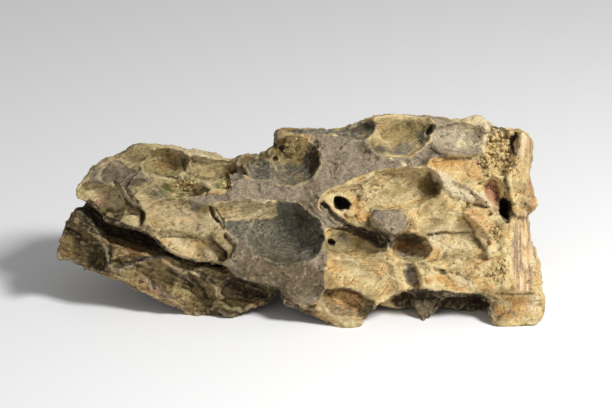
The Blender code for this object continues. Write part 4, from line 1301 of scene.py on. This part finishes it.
# Washes over the ochre: their colour, the noise they follow, from where to where on it, and how strong
WASHES = [
    (tone(206, 156, 88), "drift", 0.49, 0.62, 0.6),
    (tone(164, 146, 106), "cloud", 0.50, 0.62, 0.65),
    (tone(232, 211, 160), "drift", 0.48, 0.38, 0.6),
]

# The bands of the layered end, and the marks over the coats: hairlines, specks, flecks, stains with
# painted shade, pale colour with painted light, dirt with painted shade, wear with painted highlight
DARK_BAND = tone(158, 136, 112)
MIDDLE_BAND = tone(212, 176, 126)
LIGHT_BAND = tone(230, 210, 168)
HAIRLINE = tone(80, 64, 42)
HAIRLINE_NET = 13
SPECK = tone(96, 78, 52)
FLECK = tone(232, 214, 174)
STAIN_AND_SHADE = tone(182, 173, 156)
PALE_AND_LIT = tone(226, 210, 176)
SHADE_AND_DIRT = tone(58, 47, 31)
WEAR_AND_HIGHLIGHT = tone(206, 188, 146)


class Clay(Finish):
    """The weathered clay, coat by coat."""

    def __init__(self):
        super().__init__("weathered clay")
        self.u, self.v, self.w = (self.along(direction) for direction in AXES.T)
        u, v, w = self.u, self.v, self.w
        self.swirl = self.noise(16, 3) * 14
        flow = self.vector((u + v * 0.5) * 0.25 + self.swirl * 0.4, v - u * 0.25 + self.swirl, w)
        self.streaks = self.noise(1.2, 4, flow)
        self.cloud = self.noise(11, 5)
        self.drift = self.noise(8, 4, self.vector(u * 0.6 - 70, v + 30, w))
        self.mottle = self.noise(2.6, 5)
        self.speckle = self.noise(0.9, 3)
        self.own_tone = self.between(
            self.mottle * 0.35 + self.streaks * 0.45 + self.speckle * 0.2, 0.38, 0.60)
        self.ragged = self.cloud * 0.45 + self.mottle * 0.35 + self.speckle * 0.2 - 0.5

    def base(self):
        """Ochre with its washes."""
        colour = self.mix(self.own_tone, OCHRE.dark, OCHRE.light)
        for wash, follows, low, high, strength in WASHES:
            share = self.between(getattr(self, follows), low, high)
            colour = self.mix(share * strength, colour, wash)
        return colour

    def cover(self, name):
        """Where a coat lies, with its ragged border."""
        coat = COAT_COLOURS[name]
        edge = self.painted(name) + self.ragged * (coat.broken * BORDER_BREAK)
        cover = self.between(edge, 0.5 - coat.soft, 0.5 + coat.soft)
        return cover * self.between(self.painted(name), 0.02, 0.15)

    def banded(self, colour):
        """The colour with the layers of the right end over it."""
        u, v, w = self.u, self.v, self.w
        bands = self.noise(2.2, 3, self.vector(u, v * 0.05, w * 0.3 + self.swirl * 0.2))
        layers = self.mix(self.between(bands, 0.40, 0.50), DARK_BAND, MIDDLE_BAND)
        layers = self.mix(self.between(bands, 0.52, 0.60), layers, LIGHT_BAND)
        share = self.between(self.painted("strata") + self.ragged, 0.35, 0.6)
        return self.mix(share, colour, layers)

    def hairlines(self, mauve):
        """1 on a net of fine cracks, few of them on the mauve and in the slate hollows."""
        strayed = self.vector(
            self.u * 0.7 + self.cloud * 9, self.v + self.mottle * 5, self.w + self.drift * 9)
        lines = 1 - self.between(self.net(HAIRLINE_NET, strayed), 0.006, 0.024)
        lines = lines * self.between(self.drift, 0.50, 0.60)
        return lines * (1 - mauve * 0.95) * (1 - self.painted("slate") * 0.8)

    def marked(self, colour, hairlines):
        """The colour with hairlines, specks and flecks, stains and painted shade, pale colour and
        painted light, dirt and painted shade, and wear and painted highlight over it.
        """
        colour = self.mix(hairlines * 0.4, colour, HAIRLINE)
        specks = self.between(self.noise(1.2, 4), 0.60, 0.68)
        colour = self.mix(specks * 0.4, colour, SPECK)
        flecks = self.between(
            self.noise(0.8, 3, self.vector(self.u + 40, self.v, self.w)), 0.62, 0.70)
        flecks = flecks * (1 - self.painted("umber"))
        colour = self.mix(flecks * 0.45, colour, FLECK)
        # Damp stains and painted shade, darkening what lies under them
        stain_and_shade = self.between(self.painted("stain_and_shade") + self.ragged * 0.8, 0.0, 1.0)
        colour = self.mix(stain_and_shade * 0.9, colour, self.mix(1.0, colour, STAIN_AND_SHADE, "MULTIPLY"))
        # Pale colour and painted light, lightening what lies under them
        pale = self.between(self.painted("pale") + self.ragged * 0.9, 0.1, 1.0)
        colour = self.mix(pale * 0.6, colour, PALE_AND_LIT)
        # Painted shade and dirt in the hollows, the cracks and along the plate feet
        colour = self.mix(self.painted("cavity") * 0.75, colour, SHADE_AND_DIRT)
        # Wear and painted highlight on the high points and rims
        colour = self.mix(self.painted("wear_and_highlight") * 0.35, colour, WEAR_AND_HIGHLIGHT)
        shade = self.between(self.speckle, 0.3, 0.7) * 0.20 + 0.88
        grey = self.node("ShaderNodeCombineColor", None, {0: shade, 1: shade, 2: shade})
        return self.mix(1.0, colour, grey.outputs[0], "MULTIPLY")

    def relief(self, mauve, hairlines):
        """The fine relief: grain, streaks, and the mauve and the hairlines a little lower."""
        normal = self.bump(self.speckle * 0.6 + self.noise(0.4, 2) * 0.4, 0.35)
        normal = self.bump(self.mottle * 0.5 + self.streaks * 0.9, 1.1, normal)
        normal = self.bump(1 - mauve, 0.5, normal)
        return self.bump(1 - hairlines, 0.5, normal)


def clay_finish():
    """The one material of the stone and its grains."""
    clay = Clay()
    colour = clay.base()
    covers = {name: clay.cover(name) for name in COAT_COLOURS}
    for name, coat in COAT_COLOURS.items():
        colour = clay.mix(covers[name], colour, clay.mix(clay.own_tone, coat.dark, coat.light))
    hairlines = clay.hairlines(covers["mauve"])
    colour = clay.marked(clay.banded(colour), hairlines)
    clay.feed(clay.shader.inputs["Base Color"], colour)
    clay.feed(clay.shader.inputs["Roughness"], 0.80 + clay.mottle * 0.2)
    clay.feed(clay.shader.inputs["Specular IOR Level"], 0.3)
    clay.feed(clay.shader.inputs["Normal"], clay.relief(covers["mauve"], hairlines))
    return clay.material


# The photograph's view: where the camera aims on the face, how far off it stands, and the width
# of the picture there, all in millimetres
AIM = (4.0, 65.3)
DISTANCE = 1500.0
PICTURE_WIDTH = 327.4
SENSOR = 36.0
CLIP_END = 20.0

# Each light's azimuth (0 from the front, 90 from the right) and height in degrees, then its
# distance and size in metres and its power in watts
LIGHTS = {
    "key light": (52, 46, 1.2, 0.28, 14.2),
    "fill light": (-25, 25, 1.6, 1.0, 1.5),
}
SKY = 0.27

# Half the floor's width in metres, its colour and its roughness
FLOOR_REACH = 4.0
FLOOR_COLOUR = (0.93, 0.93, 0.93, 1)
FLOOR_ROUGHNESS = 0.9


def row_place(u, v, w):
    """A place in face millimetres as a point in the row frame."""
    return Vector((AXES @ np.array((u, v, w)) + FACE_ORIGIN) * MM)


def add_camera():
    data = bpy.data.cameras.new("camera")
    data.sensor_width = SENSOR
    data.lens = SENSOR * DISTANCE / PICTURE_WIDTH
    data.clip_end = CLIP_END
    camera = add_object("camera", data)
    camera.matrix_world = Matrix.Translation(row_place(*AIM, DISTANCE)) @ FACE.to_4x4()
    bpy.context.scene.camera = camera


def add_light(name, azimuth, elevation, distance, size, power):
    """A soft square light that looks at the stone."""
    data = bpy.data.lights.new(name, "AREA")
    data.size = size
    data.energy = power
    lamp = add_object(name, data)
    a, e = math.radians(azimuth), math.radians(elevation)
    away = Vector((math.sin(a) * math.cos(e), -math.cos(a) * math.cos(e), math.sin(e)))
    lamp.matrix_world = (
        Matrix.Translation(away * distance) @ away.to_track_quat("Z", "Y").to_matrix().to_4x4())


def add_floor():
    bm = bmesh.new()
    bmesh.ops.create_grid(bm, x_segments=1, y_segments=1, size=FLOOR_REACH)
    floor = add_mesh("floor", bm)
    material = bpy.data.materials.new("pale floor")
    material.use_nodes = True
    shader = material.node_tree.nodes["Principled BSDF"]
    shader.inputs["Base Color"].default_value = FLOOR_COLOUR
    shader.inputs["Roughness"].default_value = FLOOR_ROUGHNESS
    floor.data.materials.append(material)


def add_studio():
    """The camera, the floor, the lights and the sky."""
    add_camera()
    add_floor()
    for name, light in LIGHTS.items():
        add_light(name, *light)
    world = bpy.data.worlds.new("pale studio")
    world.use_nodes = True
    world.node_tree.nodes["Background"].inputs["Color"].default_value = (1, 1, 1, 1)
    world.node_tree.nodes["Background"].inputs["Strength"].default_value = SKY
    bpy.context.scene.world = world
    bpy.context.scene.view_settings.view_transform = "Standard"


add_studio()
stone, crust_grains = shape_stone()
clay = clay_finish()
for piece in (stone, crust_grains):
    piece.data.shade_smooth()
    piece.data.materials.append(clay)
    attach(piece, "root")
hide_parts(NODE)
